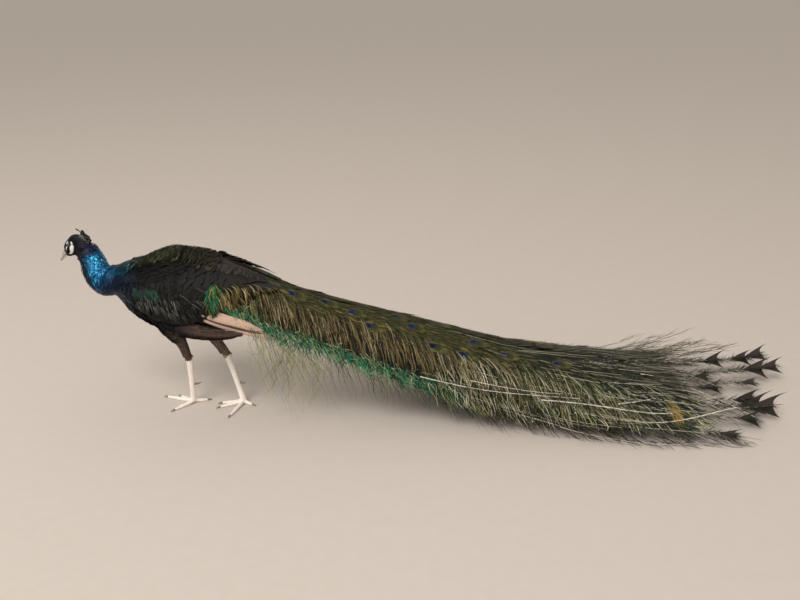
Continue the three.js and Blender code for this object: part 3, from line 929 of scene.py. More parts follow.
# %% Vanes as strips
TILE = [(0, 0.45, 0.15), (0.3, 0.85, 0.45), (0.65, 1.0, 0.8), (0.9, 0.72, 0.98), (1.0, 0.15, 1.0)]
BLADE = [(0, 0.3, 0.1), (0.12, 0.75, 0.3), (0.35, 1.0, 0.6), (0.6, 1.0, 0.8), (0.82, 0.9, 0.95),
         (0.94, 0.62, 1.0), (1.0, 0.12, 1.0)]
HAIR = [(0, 1.0, 0.1), (0.5, 0.9, 0.7), (1.0, 0.1, 1.0)]
PLUME = [(0, 0.6, 0.2), (0.25, 1.0, 0.6), (0.55, 0.9, 0.85), (0.8, 0.6, 1.0), (1.0, 0.1, 1.0)]


def strips(centres, normals, halves, arch, columns=3):
    """Vanes from centre points and normals (n, k, 3) and half-widths (n, k)."""
    along = unit(np.gradient(centres, axis=1))
    across = unit(np.cross(along, normals))
    offset = np.linspace(-1, 1, columns)
    spread = halves[:, :, None, None] * offset[:, None]
    drop = arch * halves[:, :, None, None] * (offset ** 2)[:, None]
    return centres[:, :, None] + across[:, :, None] * spread - unit(normals)[:, :, None] * drop


print("a tile vane has", 4 * (len(TILE) - 1), "triangles")

# %% [markdown]
# The strips of one kind are joined in one mesh, a coat piece. Every strip has its own small
# patch in the map OFBake, at the place of its root on the unrolled body, and a map Vane that
# runs across and along it for the barbs. No point may leave the room round the solids.

# %% Coat pieces
PATCH = 0.003
ROOM = ([-400, -241, 0.4], [1583, 241, 600])


class Coat:
    """One coat piece: vanes are added in batches, then made into a mesh."""

    def __init__(self, name):
        self.name = name
        self.points, self.faces, self.tones, self.vane, self.bake = [], [], [], [], []
        self.count = self.feathers = 0

    def add(self, grid, tones, roots, patch=PATCH):
        """grid (n, k, m, 3) of points, tones that spread to it, roots (n, 2) on the unrolled body."""
        n, k, m, _ = grid.shape
        index = np.arange(n * k * m).reshape(n, k, m) + self.count
        a, b = index[:, :-1, :-1], index[:, :-1, 1:]
        c, d = index[:, 1:, 1:], index[:, 1:, :-1]
        self.faces.append(np.stack([a, b, c, d], -1).reshape(-1, 4))
        self.points.append(grid.reshape(-1, 3))
        self.tones.append(np.broadcast_to(tones, grid.shape).reshape(-1, 3))
        u, v = np.meshgrid(np.linspace(0, 1, m), np.linspace(0, 1, k))
        uv = np.stack([u, v], -1)[None]
        self.vane.append(np.broadcast_to(uv, (n, k, m, 2)).reshape(-1, 2))
        self.bake.append((roots[:, None, None] + (uv - 0.5) * patch).reshape(-1, 2))
        self.count += n * k * m
        self.feathers += n

    def cover(self, laid, tones, arch=0.2, columns=3):
        """Add vanes as they were laid on the skin."""
        self.add(strips(laid.centres, laid.out, laid.halves, arch, columns), tones, laid.patches)

    def make(self, material, slot, *nodes):
        """Join all the vanes in one mesh and say where it belongs."""
        points = np.vstack(self.points).clip(*ROOM)
        faces = np.vstack(self.faces)
        mesh = bpy.data.meshes.new(self.name)
        mesh.vertices.add(len(points))
        mesh.vertices.foreach_set("co", place(points).ravel().astype(np.float32))
        mesh.loops.add(faces.size)
        mesh.loops.foreach_set("vertex_index", faces.ravel().astype(np.int32))
        mesh.polygons.add(len(faces))
        mesh.polygons.foreach_set("loop_start", np.arange(0, faces.size, 4, dtype=np.int32))
        shade_smooth(mesh)
        mesh.update(calc_edges=True)
        for name, data in (("OFBake", np.vstack(self.bake)), ("Vane", np.vstack(self.vane))):
            layer = mesh.uv_layers.new(name=name)
            layer.data.foreach_set("uv", data[faces.ravel()].ravel().astype(np.float32))
        write_tones(mesh, np.vstack(self.tones))
        mesh.materials.append(material)
        belongs(add_object(self.name, mesh), slot, *nodes)
        print(f"{self.name}: {self.feathers} vanes, {2 * len(faces)} triangles")


print("room for feathers, in mm:", ROOM)

# %% [markdown]
# Vanes are set out in staggered rows, each a little off its place, and then laid: every point
# of a vane is dropped on to the skin by a ray and lifted by the depth of the coat, more towards
# the tip. A vane that would fall off the body or leap across a gap is left out.

# %% Laying vanes on the skin
WOBBLE = 0.25


def tiles(first, last, step, start, stop, gap, girth):
    """Places in staggered rows on a limb: distances along it and turns in degrees.
    gap is the distance round the limb. girth is its rough radius, or the radius at its start,
    how much that grows, and from where to where."""
    along, turn = [], []
    for row, a in enumerate(np.arange(first, last, step)):
        radius = girth if np.isscalar(girth) else girth[0] + girth[1] * float(soft(girth[2], girth[3], a))
        turns = np.degrees(gap / radius)
        t = np.arange(start, stop, turns) + (row % 2) * turns / 2
        along.append(a + rng.normal(0, step * WOBBLE, len(t)))
        turn.append(t + rng.normal(0, turns * WOBBLE, len(t)))
    return np.concatenate(along), np.concatenate(turn)


def unrolled(trail, along, turn):
    """Roots on the unrolled limb, from 0 to 1 both ways."""
    return np.stack([0.02 + 0.96 * (along / trail.length).clip(0, 1), (turn % 360) / 360], 1)


def swell(along, turn):
    """How far the loose feathers of the back and nape stand above the skin."""
    back = 14 * soft(138, 176, along) * (1 - 0.62 * soft(290, 345, along)) * (1 - soft(450, 560, along))
    back = back * (1 - soft(14, 52, np.abs(turn)))
    nape = 4.0 * soft(48, 64, along) * (1 - soft(112, 140, along)) * (1 - soft(35, 80, np.abs(turn)))
    return back + nape


class Laid(NamedTuple):
    """Vanes on the skin: their lines, the ways out of it, half-widths, places and patches."""
    centres: np.ndarray
    out: np.ndarray
    halves: np.ndarray
    along: np.ndarray
    turn: np.ndarray
    patches: np.ndarray

    @property
    def roots(self):
        return self.centres[:, 0]

    def only(self, chosen):
        return Laid(*[v[chosen] for v in self])


def lay(trail, along, turn, length, half, depth, shape, reach=150, tip_turn=0.0, sink=0.4, tree=None,
        slack=1.9):
    """Vanes that follow the skin from their roots.
    shape is a list of (part of length, part of half-width, part of depth)."""
    shape = np.array(shape, float)
    length, half, depth, tip_turn = (np.broadcast_to(v, along.shape)[:, None]
                                     for v in (length, half, depth, tip_turn))
    steps = along[:, None] + length * shape[:, 0]
    turns = turn[:, None] + tip_turn * shape[:, 0] ** 2
    hits, met = trail.on(tree or SKIN_TREE, steps.clip(0, trail.length), turns, reach)
    out = trail.outward(steps.clip(0, trail.length), turns)[1]
    hits = hits + (steps - trail.length).clip(0)[..., None] * trail.run[-1]
    jump = np.linalg.norm(np.diff(hits, axis=1), axis=2).sum(1)
    keep = met.all(axis=1) & (jump < slack * length[:, 0] + 6)
    lift = depth * shape[:, 2] - sink
    if trail is SPINE:
        lift = lift + swell(steps, turns)
    everything = Laid(hits + out * lift[..., None], out, half * shape[:, 1], along, turn,
                      unrolled(trail, along, turn))
    return everything.only(keep)


print("rows wander by", WOBBLE, "of their pitch")

# %% [markdown]
# A vane is darkest at its root, in the shade of those before it. Many have a rim of another
# colour, and no two are quite as light as each other.

# %% Shades of a vane
def plain(code, count):
    """Rows of one colour."""
    return np.broadcast_to(tone(code), (count, 3))


def vary(base, amount):
    """The same colours with every feather a little lighter or darker."""
    return base * np.exp(rng.normal(0, amount, (len(base), 1)))


def shaded(base, shape, edge=None, columns=3, root=0.55, tip=1.0, edge_from=0.6):
    """Colours for every point of the vanes: dark at the root, with an edge colour if given."""
    t = np.array(shape)[:, 0]
    light = root + (tip - root) * soft(0, 0.55, t)
    c = np.repeat(base[:, None, None] * light[None, :, None, None], columns, axis=2)
    if edge is None:
        return c
    offset = np.abs(np.linspace(-1, 1, columns))
    amount = np.maximum(soft(edge_from, 1.0, t)[:, None], 0.8 * soft(0.5, 1, offset)[None])
    return mix(c, edge, amount * soft(0.2, 0.6, t)[:, None])


print("shades ready")

# %% [markdown]
# The head wears the shortest feathers, like plush. They run back from the bill, and leave the
# eyes and the white patches free.

# %% Head plush
SHORT_VANE = plumage("plush", rough=0.6, metal=0.1, clouds=0.3, contrast=0.2, specular=0.25)
coat = Coat("plush")
head_axis = Trail([on_head([-33, 0, 0]), on_head([-15, 0, 0]), on_head([5, 0, -2]), on_head([24, 0, -4]),
                   (-289, 0, 428), (-275, 0, 406), (-266, 0, 380)], step=1.0)
along, turn = tiles(3, 74, 1.35, -180, 180, 1.9, (8, 12, 0, 26))
laid = lay(head_axis, along, turn, 3.6 + 3.4 * soft(25, 65, along), 0.75 + 0.5 * soft(30, 60, along),
           1.5 + 1.4 * soft(30, 65, along), HAIR, reach=40, sink=0.3)
h = from_head(laid.roots)
eye_gap = np.minimum(from_centre(h - EYE_PLACE), from_centre(h - EYE_PLACE * [1, -1, 1]))
laid = laid.only((bare_white(h) < 0.3) & (eye_gap > EYE_RADIUS + 1.4))
coat.cover(laid, shaded(vary(body_tone(laid.roots), 0.22), HAIR, columns=2, root=0.7, tip=1.15), columns=2)
coat.make(SHORT_VANE, "skin")

# %% [markdown]
# Neck feathers are small scales with metal in them. Each one is bright in the middle and dark
# at its edge, so the neck sparkles in turquoise over navy. Some are painted brighter as glints.

# %% Neck
NECK_VANE = plumage("neck_vane", rough=0.36, metal=0.6, clouds=0.5, barbs=9, contrast=0.35, bump=0.4)
coat = Coat("neck_feathers")
along, turn = tiles(56, 222, 4.2, -180, 180, 4.8, (22, 26, 120, 190))
rng.random(len(along))  # spent, so that every later feather keeps its place
length = 9 + 6 * soft(120, 200, along) + rng.normal(0, 0.8, len(along))
fluff = 2.0 * soft(125, 160, np.abs(turn)) * soft(62, 76, along) * (1 - soft(88, 112, along))
laid = lay(SPINE, along, turn, length, 3.7 + 1.6 * soft(120, 200, along),
           4.8 + 2.2 * soft(150, 210, along) + fluff, TILE, reach=110)
base = vary(body_tone(laid.roots), 0.42)
# Painted glints: three in ten feathers of the upper neck, away from its front, are painted brighter and
# bluer.
lit = (laid.along > 72) & (laid.along < 122) & (np.abs(laid.turn) < 128)
bright = (rng.random(len(base)) < 0.3) & lit
base[bright] = base[bright] * 1.25 + tone("3fa0d4") * 0.35
base = base * (1 - 0.55 * (rng.random(len(base)) < 0.17))[:, None]
coat.cover(laid, shaded(base, TILE, tone("0c2036") * 0.9, edge_from=0.72), arch=0.22)
coat.make(NECK_VANE, "neck")

# %% [markdown]
# The wing's two edges bound the plumage round it. They are known at a few distances along the
# body, as turns from the back, and drawn straight between.

# %% Edges of the wing
WING_EDGE = np.array([(-206, 40, 50), (-185, 28, 62), (-150, 23, 69), (-90, 22, 68), (-30, 20, 73),
                      (12, 24, 82), (40, 36, 70), (66, 46, 52), (90, 48, 48), (224, 48, 48)], float)


def wing_edges(along):
    """Turns of the wing's upper and lower edge at distances along the spine."""
    x = np.interp(along, SPINE.at, SPINE.line[:, 0])
    return np.interp(x, WING_EDGE[:, 0], WING_EDGE[:, 1]), np.interp(x, WING_EDGE[:, 0], WING_EDGE[:, 2])


print("the wing starts at x =", WING_EDGE[0, 0])

# %% [markdown]
# The mantle between the wings is a net of bronze-green scales with dark rims, and under it lie
# wide vanes, darkened as painted shade, that let no skin show between. Breast and belly are dark
# and softer.

# %% Mantle, breast and belly
BODY_VANE = plumage("body_vane", rough=0.7, metal=0.1, clouds=0.4, barbs=10, contrast=0.3, specular=0.15)
coat = Coat("body_feathers")
along, turn = tiles(134, 440, 8.0, -66, 66, 8.0, 80)
laid = lay(SPINE, along, turn, 26, 9.0, 3.0, TILE)
# Painted shade: the vanes under the scales take six tenths of the body's colour.
coat.cover(laid, shaded(body_tone(laid.roots) * 0.6, TILE), arch=0.1)

along, turn = tiles(194, 430, 4.8, -60, 60, 5.2, (40, 58, 190, 300))
inside = np.abs(turn) < wing_edges(along)[0] + 4
along, turn = along[inside], turn[inside]
laid = lay(SPINE, along, turn, 11.0 + rng.normal(0, 1, len(along)), 4.7,
           9.5 + 3 * soft(230, 330, along), TILE)
base = vary(body_tone(laid.roots), 0.3)
speck = rng.random(len(base)) < 0.3
base[speck] = base[speck] + tone("8c9468") * 0.6
base = mix(base, tone("4a4138"), 0.8 * soft(300, 370, laid.along))
coat.cover(laid, shaded(base, TILE, tone("15150f"), edge_from=0.75))

along, turn = tiles(200, 470, 8.0, 62, 298, 9.0, (52, 44, 200, 300))
laid = lay(SPINE, along, turn, 19 + rng.normal(0, 1.5, len(along)), 7.0, 7.5, TILE)
coat.cover(laid, shaded(vary(body_tone(laid.roots), 0.25), TILE), arch=0.15)
coat.make(BODY_VANE, "body")

# %% [markdown]
# The folded wing is laid in tiers. The long flight feathers lie lowest, the upper ones over the
# lower, back to the wing's tip, and those that find no room on the body are left out. Brown
# shoulder feathers cover their roots, and small coverts like black scales cover the rest.

# %% Wings
WING_VANE = plumage("wing_vane", rough=0.6, metal=0.05, barbs=44, contrast=0.2, bump=0.2, specular=0.2)
BLADES = 13
COVERTS = ((190, 352, 13, 6.0), (340, 470, 21, 7.0))  # from, to, length and rise of each tier


def flight_feathers(coat, mirror):
    for i in np.arange(BLADES)[::-1]:
        part = i / (BLADES - 1)
        along = np.array([338 + 50 * part])
        turn = np.array([mirror * (5 + 30 * part)])
        tip = 609 - 112 * part ** 1.1 + rng.normal(0, 2)
        laid = lay(SPINE, along, turn, tip - along[0], 12.5 - 2.0 * part, 6.0 + 2.5 * (1 - part), BLADE,
                   tip_turn=mirror * (2 + 13 * part), slack=3.5)
        if not len(laid.roots):
            print("no room on the body for blade", i)
            continue
        base = vary(mix(tone("231e1a"), tone("191613"), part)[None], 0.2)
        rim = mix(tone("544a40"), tone("302b25"), soft(0.1, 0.7, part))
        coat.cover(laid, shaded(base, BLADE, rim, 5, root=0.8, edge_from=0.95), arch=0.12, columns=5)


def shoulder_feathers(coat, mirror):
    along, turn = tiles(300, 520, 11, 2, 40, 8, 92)
    inside = turn < 2 + 32 * soft(300, 380, along)
    along, turn = along[inside], turn[inside] * mirror
    laid = lay(SPINE, along, turn, 24 + rng.normal(0, 2, len(along)), 8.5, 7.5, TILE)
    base = vary(plain("3b332b", len(laid.roots)), 0.25)
    coat.cover(laid, shaded(base, TILE, tone("302a25"), edge_from=0.9), arch=0.1)


def coverts(coat, mirror, first, last, size, rise):
    along, turn = tiles(first, last, size * 0.5, 0, 110, size * 0.6, 92)
    upper, lower = wing_edges(along)
    inside = (turn > upper - 1) & (turn < lower + 2)
    along, turn = along[inside], turn[inside] * mirror
    laid = lay(SPINE, along, turn, size + rng.normal(0, 1, len(along)), size * 0.46, rise, TILE,
               tip_turn=mirror * 3.0)
    below = np.abs(laid.turn) - wing_edges(laid.along)[0]
    base = vary(mix(tone("0f0f10"), tone("121110"), soft(210, 330, laid.along)), 0.12)
    pale = (rng.random(len(base)) < 0.25) & (below < 4) & (laid.along > 255) & (size < 20)
    laid.halves[pale] *= 0.35
    base[pale] = tone("8d8570") * 0.8
    coat.cover(laid, shaded(base, TILE, tone("1f1e1b"), root=0.85, edge_from=0.92), arch=0.1)


coat = Coat("wing_feathers")
for mirror in (1, -1):
    flight_feathers(coat, mirror)
    shoulder_feathers(coat, mirror)
    for tier in COVERTS:
        coverts(coat, mirror, *tier)
coat.make(WING_VANE, "wing")

# %% [markdown]
# The flight feathers of the hand show below the wing: long buff-pink blades with pale shafts,
# fanned a little. They are free of the body, so they follow their own straight lines.

# %% Primaries
PINK_VANE = plumage("primary_vane", rough=0.55, clouds=0.35, barbs=60, contrast=0.22)
PRIMARY_ROOT = np.array([(-50, -88, 326.0), (-26, -89, 296.0)])
PRIMARY_TIP = np.array([(148, -100, 266.0), (190, -104, 231.0)])
DARK_PRIMARIES = (3, 4)
HALF_WIDTH = 11.5


def primary(coat, i, mirror):
    """One blade of the fan, from 0 at the top to 8 at the bottom, and its shaft."""
    part = i / 8
    root = PRIMARY_ROOT[0] + part * (PRIMARY_ROOT[1] - PRIMARY_ROOT[0])
    tip = PRIMARY_TIP[0] + part * (PRIMARY_TIP[1] - PRIMARY_TIP[0])
    tip = tip + [4 * math.sin(4 * i), 0, 0]
    t = np.linspace(0, 1, 12)
    line = root + t[:, None] * (tip - root)
    line[:, 1] -= 3.5 - 0.9 * i
    line[:, 2] -= 9 * t * (1 - t)
    line = (line * [1, mirror, 1])[None]
    normal = np.broadcast_to(unit(np.array([0.05, -mirror, 0.12])), line.shape)
    half = HALF_WIDTH * np.interp(t, [0, 0.1, 0.45, 0.85, 0.96, 1], [0.3, 0.6, 1, 0.75, 0.4, 0.06])[None]
    base = mix(tone("c09c84"), tone("d8b8a4"), rng.random())
    if i in DARK_PRIMARIES:
        base = tone("54423a")
    c = mix(tone("6b5546"), base, soft(0.02, 0.3, t))
    c = mix(c, tone("8a7462"), soft(0.86, 1.0, t) * 0.7)
    c = np.broadcast_to(c[None, :, None], (1, 12, 5, 3)).copy()
    c[:, :, 0] *= 0.82
    roots = np.array([[0.5 + 0.2 * mirror, 0.1 + 0.09 * i]])
    coat.add(strips(line, normal, half, 0.08, 5), c, roots, patch=0.03)
    thin = np.interp(t, [0, 1], [1.3, 0.5])[None]
    coat.add(strips(line + normal * 0.9, normal, thin, 0.5), tone("d9c9b4"), roots + [[0.05, 0]], patch=0.02)


for side, mirror in (("left", 1), ("right", -1)):
    coat = Coat(f"primary_feathers_{side}")
    for i in range(9):
        primary(coat, i, mirror)
    coat.make(PINK_VANE, "primaries", f"primaries_{side}")

# %% [markdown]
# A bunch of long soft flank feathers hangs over them, brown and round at its end. Between loose
# plumes light would shine through, so each bunch is laid on a smaller copy of its solid, painted
# dark as the shade inside the bunch.

# %% Flank plumes
SOFT_VANE = plumage("soft_vane", rough=0.75, clouds=0.5, barbs=14, contrast=0.4, specular=0.25)
DOWN = bpy.data.materials["down"]
SHRINK = 2.5


def flank_shade_bed(side):
    """A smaller, smooth copy of the bunch's solid, painted dark as shade."""
    name = f"flank_shade_bed_{side}"
    bed = merged_copy(name, f"flank_{side}")
    bed.data.name = name
    edit_all(bed, lambda: bpy.ops.transform.shrink_fatten(value=-SHRINK / 1000))
    bed.data.materials.clear()
    bed.data.materials.append(DOWN)
    shade_smooth(bed.data)
    # Painted shade: dark brown for the inside of the bunch.
    write_tones(bed.data, plain("2c2420", len(bed.data.vertices)))
    belongs(bed, "brown")


def flank_plumes(side, mirror):
    line = Trail(np.array([(-66, -58, 251), (-20, -78, 246), (30, -98, 244), (70, -108, 247),
                           (99, -110, 249)]) * [1, mirror, 1])
    coat = Coat(f"flank_plumes_{side}")
    along, turn = tiles(2, 166, 5, -180, 180, 5.5, 17)
    laid = lay(line, along, turn, 24 + rng.normal(0, 3, len(along)), 3.0, 3.2, PLUME, reach=60, sink=2.4,
               tree=tree_of(solids[f"flank_{side}"].data))
    base = vary(mix(tone("332924"), tone("5a463d"), rng.random(len(laid.roots))), 0.15)
    base = mix(base, tone("1f1d1d"), 1 - soft(0, 60, laid.along))
    coat.cover(laid, shaded(base, PLUME, root=0.75))
    coat.make(SOFT_VANE, "brown", f"flank_{side}")


for side, mirror in (("left", 1), ("right", -1)):
    flank_shade_bed(side)
    flank_plumes(side, mirror)

# %% [markdown]
# Thighs are clad to the hock in short brown feathers with a ragged lower edge. Along breast and
# flank, fine pale plumes lie over the dark ground, each with a broad dark one under it.

# %% Thighs and flank strokes
# The first row is teal: painted sheen on the breast just below the wing.
STROKES = (  # from, to, upper and lower turn, how many, colour and length
    (222, 292, 67, 80, 70, "1d4f45", 11), (240, 340, 76, 100, 60, "6c6f69", 13),
    (250, 410, 80, 112, 26, "55564f", 16), (330, 400, 60, 84, 8, "77746a", 46))
coat = Coat("thigh_feathers")
for line in LEG_LINES.values():
    along, turn = tiles(2, line.length - 3, 4.2, -180, 180, 4.4, (30, -18, 20, 120))
    length = 17 - 5 * soft(60, 150, along) + rng.normal(0, 1.5, len(along))
    laid = lay(line, along, turn, length, 2.6, 4.2 - 2.0 * soft(60, 150, along), PLUME, reach=48)
    coat.cover(laid, shaded(vary(body_tone(laid.roots), 0.25), PLUME, root=0.75))
for mirror in (1, -1):
    for first, last, low, high, count, colour, size in STROKES:
        along = rng.uniform(first, last, count)
        turn = rng.uniform(low, high, count) * mirror
        laid = lay(SPINE, along, turn, size + rng.normal(0, 4, count), 0.5, 9.5, PLUME, tip_turn=mirror * 12)
        base = vary(plain(colour, len(laid.roots)), 0.45)
        coat.cover(laid._replace(halves=laid.halves * 0.85), shaded(base, PLUME, root=0.5))
        wide = laid._replace(centres=laid.centres - laid.out * 0.8, halves=laid.halves * 8)
        coat.cover(wide, shaded(vary(body_tone(laid.roots), 0.2) * 1.1 * 0.8, PLUME, root=0.8))
coat.make(SOFT_VANE, "brown")

# %% [markdown]
# The crest is a fan of bare pale shafts, each with a small dark vane at its end. The fan leans
# back, so its outer edge is a straight line from its peak down to the nape. Two plumes stand
# apart at the front, bent forward like a hook.

# %% Crest
CREST_VANE = plumage("crest_vane", rough=0.5, metal=0.1, clouds=0.3, barbs=5, contrast=0.4)
CREST_EDGE = np.array([(-289, 483), (-280, 469.5), (-271, 456.5), (-272, 450)], float)
CREST_ROOTS = np.array([(-299, 466), (-295, 464), (-291, 461), (-287, 455)], float)
CREST_PLUMES = 46


def bent(points, count):
    """A smooth line through a few points."""
    points = np.array(points, float)
    at = np.linspace(0, 1, len(points))
    t = np.linspace(0, 1, count)
    return np.stack([np.polyval(np.polyfit(at, points[:, k], len(points) - 1), t) for k in range(3)], 1)


def crest_plume(coat, path, halves, stem, dark, number):
    """A shaft in the colour stem that turns to a dark vane between the two parts in dark."""
    line = bent(path, 9)
    t = np.linspace(0, 1, 9)
    c = mix(tone(stem), tone("131216"), soft(*dark, t))
    facing = np.broadcast_to(np.array([0.1, -1, 0.3]), (1, 9, 3))
    width = np.interp(t, [0, 0.45, 0.62, 0.82, 0.93, 1], halves)[None]
    root = np.array([[0.1 + 0.02 * number, 0.5]])
    coat.add(strips(line[None], facing, width, 0.25), c[None, :, None], root, patch=0.02)


def crest():
    coat = Coat("crest_plumes")
    part = np.linspace(0, 1, 4)
    for i in range(CREST_PLUMES):
        way = i / (CREST_PLUMES - 1)
        tip = np.array([np.interp(way, part, CREST_EDGE[:, 0]), rng.normal(0, 5),
                        np.interp(way, part, CREST_EDGE[:, 1])])
        root = np.array([np.interp(way, part, CREST_ROOTS[:, 0]), rng.normal(0, 2.5),
                         np.interp(way, part, CREST_ROOTS[:, 1])])
        tip = tip + rng.normal(0, 0.5, 3) - 0.04 * rng.random() * (tip - root)
        middle = (root + tip) / 2 + np.array([-0.6, 0, 1.2])
        crest_plume(coat, [root, middle, tip], [0.35, 0.35, 1.1, 2.9, 2.7, 0.6], "8f8b82", (0.42, 0.64), i)
    for lean in (-1.0, 0.8):
        crest_plume(coat, [(-296, lean, 464), (-293.5, lean, 478), (-299, lean, 483.5), (-304, lean, 488)],
                    [0.35, 0.5, 0.9, 1.4, 1.3, 0.4], "4a463f", (0.3, 0.6), CREST_PLUMES + 1)
    coat.make(CREST_VANE, "neck", "crest")


crest()

# %% [markdown]
# ## The true tail
# Under the train lies the true tail: a narrow fan of stiff brown blades. They show from below
# and from the side, where the train is thin.

# %% Tail
TAIL_VANE = plumage("tail_vane", rough=0.6, clouds=0.4, barbs=60, contrast=0.3)
coat = Coat("tail_feathers")
for i in range(14):
    part = i / 13 * 2 - 1
    t = np.linspace(0, 1, 9)
    line = np.stack([150 + 308 * t, part * (14 + 56 * t ** 1.1), 243 - 110 * t - 4 * abs(part)], 1)[None]
    normal = np.broadcast_to(unit(np.array([0.3, 0.35 * part, 1])), line.shape)
    half = 15 * np.interp(t, [0, 0.15, 0.6, 0.92, 1], [0.35, 0.7, 1, 0.85, 0.3])[None]
    c = mix(tone("3a3028"), tone("55463a"), soft(0.1, 0.9, t))
    root = np.array([[0.2, 0.1 + 0.06 * i]])
    coat.add(strips(line, normal, half, 0.06, 5), c[None, :, None], root, patch=0.03)
coat.make(TAIL_VANE, "brown", "tail")

# %% [markdown]
# ## The train
# The train is a long roof of covert feathers. Its solids give its shape: a ridge, two edges and
# a width at each distance. Places on it are written as x and q: q is 0 on the ridge, 1 on the
# left edge and -1 on the right one. Beyond the edge, barbs hang straight down.

# %% Places on the train
# distance, height of the ridge and of the edge, half-width, height of the underside
TRAIN = np.array([(64, 396, 300, 89, 78), (100, 385, 275, 95, 50), (139, 366, 242, 97, 6),
                  (200, 342, 216, 101, -18), (236, 325, 203, 106, -24), (346, 290, 173, 114, -26),
                  (500, 250, 118, 124, -24), (634, 212, 81, 136, -20), (771, 172, 46, 151, -8),
                  (938, 146, 20, 176, 18), (1104, 118, 14, 200, 19), (1326, 92, 14, 214, 19),
                  (1420, 46, 18, 186, 12), (1530, 6, 4, 186, 4)], float)


def train_size(x):
    """Ridge height, edge height and half-width at distances x."""
    return [np.interp(x, TRAIN[:, 0], TRAIN[:, i]) for i in (1, 2, 3)]


def on_train(x, q, lift=0.0):
    """Points on the train and the directions straight out of it."""
    ridge, edge, half = train_size(x)
    angle = np.radians(90 * np.clip(q, -1, 1))
    beyond = (np.abs(q) - 1).clip(0)
    rise = ridge - edge
    out = unit(np.stack([0.12 * np.cos(angle), -np.sin(angle) * rise, np.cos(angle) * half], -1))
    out = np.where(beyond[..., None] > 0, np.stack([0 * x, -np.sign(q), 0 * x], -1), out)
    points = np.stack([x, -half * np.sin(angle), edge + rise * np.cos(angle) - 100 * beyond], -1)
    return points + out * np.asarray(lift)[..., None], out


def train_root(x, q):
    """Where a feather of the train has its patch on the unrolled train."""
    return np.stack([(x / 1560).clip(0.01, 0.99), ((q + 1.6) / 3.2).clip(0.01, 0.99)], -1)


print("train", TRAIN[-1, 0] - TRAIN[0, 0], "mm long")

# %% [markdown]
# The train is made of loose barbs, thin ribbons that start backward and sink round its side.
# One maker serves them all: how far back a barb runs, how far it falls, how early it bends,
# and how it lifts from the surface give the roof, the combs and the fringes their own looks.

# %% Loose barbs
def barbs(coat, x, q, reach, fall, half, points, tones, lift, sag=0.0, bend=1.6, wave=0.0,
          width=(0.7, 1.0, 0.8, 0.15), columns=2):
    """Long loose barbs. They run back along the train by reach and sink round it by fall.
    tones and lift are pairs, for the roots of the barbs and for their tips."""
    n = len(x)
    t = np.linspace(0, 1, points)[None]
    reach, fall, half = (np.broadcast_to(v, (n,))[:, None] for v in (reach, fall, half))
    side = np.where(q >= 0, 1.0, -1.0)[:, None]
    sway = wave * np.sin(5 * t + rng.uniform(0, 6.3, (n, 1))) * t
    along = x[:, None] + reach * (t - sag * t ** 2) + sway
    turn = q[:, None] + side * fall * t ** bend + sway * 0.004
    low, high = (np.broadcast_to(v, (n,))[:, None] for v in lift)
    centres, out = on_train(along, turn, low + (high - low) * t)
    centres[..., 2] = np.maximum(centres[..., 2], 1 + rng.uniform(0, 3, (n, 1)))
    taper = np.interp(t[0], np.linspace(0, 1, len(width)), width)
    # Callers mostly give darker tones for the roots than the tips: painted shade under the barbs that lie
    # over them.
    first, last = tones
    c = first[:, None] + (last - first)[:, None] * soft(0, 1, t)[..., None]
    coat.add(strips(centres, out, half * taper, 0.0, columns), c[:, :, None], train_root(x, q))


def train_tones(n, *names, amount=0.25):
    """Colours picked at random from a few, each made a little lighter or darker."""
    pick = np.array([tone(v) for v in names])[rng.integers(0, len(names), n)]
    return vary(pick, amount)


print("barbs can be made")

# %% [markdown]
# A bed lies under the feathers, a little smaller than the solids, painted near black as the
# shade deep inside the train. It closes the train, so that the floor doesn't shine through
# between the barbs.

# %% Bed of the train
BED_START, BED_END = 66, 1090
FRONT_RISE = 22


def bed_ring(x, ridge, edge, half, under):
    """One ring of the bed: an arch over a shallower bowl."""
    rear = float(soft(760, BED_END, x))
    edge = edge + FRONT_RISE * (1 - float(soft(300, 560, x)))
    shrink = 6 + 5 * float(soft(BED_START, 400, x)) + 34 * rear
    a = np.radians(np.linspace(-90, 90, 21))
    rise = (ridge - edge - 0.5 * shrink) * np.cos(a) * (1 - 0.6 * rear)
    arch = np.stack([0 * a + x, -(half - shrink) * np.sin(a), edge + rise], 1)
    b = np.radians(np.linspace(90, -90, 15)[1:-1])
    lowest = max(edge - 8 - 0.25 * max(under, 0), 3)
    bowl = np.stack([0 * b + x, -(half - shrink) * np.sin(b), edge + (lowest - edge) * np.cos(b)], 1)
    return np.vstack([arch, bowl])


def train_bed():
    xs = np.linspace(BED_START, BED_END, 52)
    under = np.interp(xs, TRAIN[:, 0], TRAIN[:, 4])
    rings = np.array([bed_ring(*sizes) for sizes in zip(xs, *train_size(xs), under)])
    n, m, _ = rings.shape
    index = np.arange(n * m).reshape(n, m)
    step = np.roll(index, -1, axis=1)
    faces = np.stack([index[:-1], index[1:], step[1:], step[:-1]], -1).reshape(-1, 4).tolist()
    faces += [index[0].tolist(), index[-1][::-1].tolist()]
    mesh = bpy.data.meshes.new("train_bed")
    mesh.from_pydata(place(rings.reshape(-1, 3)).tolist(), [], faces)
    shade_smooth(mesh)
    mesh.update(calc_edges=True)
    # Painted shade: the bed is near black.
    write_tones(mesh, plain("17140e", n * m))
    mesh.materials.append(DOWN)
    piece = add_object("train_bed", mesh)
    face_outward(piece)
    belongs(piece, "train", "train_base")
    print("train bed:", len(faces), "faces")


train_bed()

# %% [markdown]
# The roof is smooth and dense: short olive-green barbs that lie back along the train. Near the
# ridge they are dark, with rusty and golden streaks between them.

# %% Roof
GLOSS_VANE = plumage("train_vane", rough=0.5, metal=0.3, clouds=0.35, contrast=0.2, specular=0.15)
LOOSE_VANE = plumage("loose_vane", rough=0.55, metal=0.15, clouds=0.3, contrast=0.2, specular=0.3)


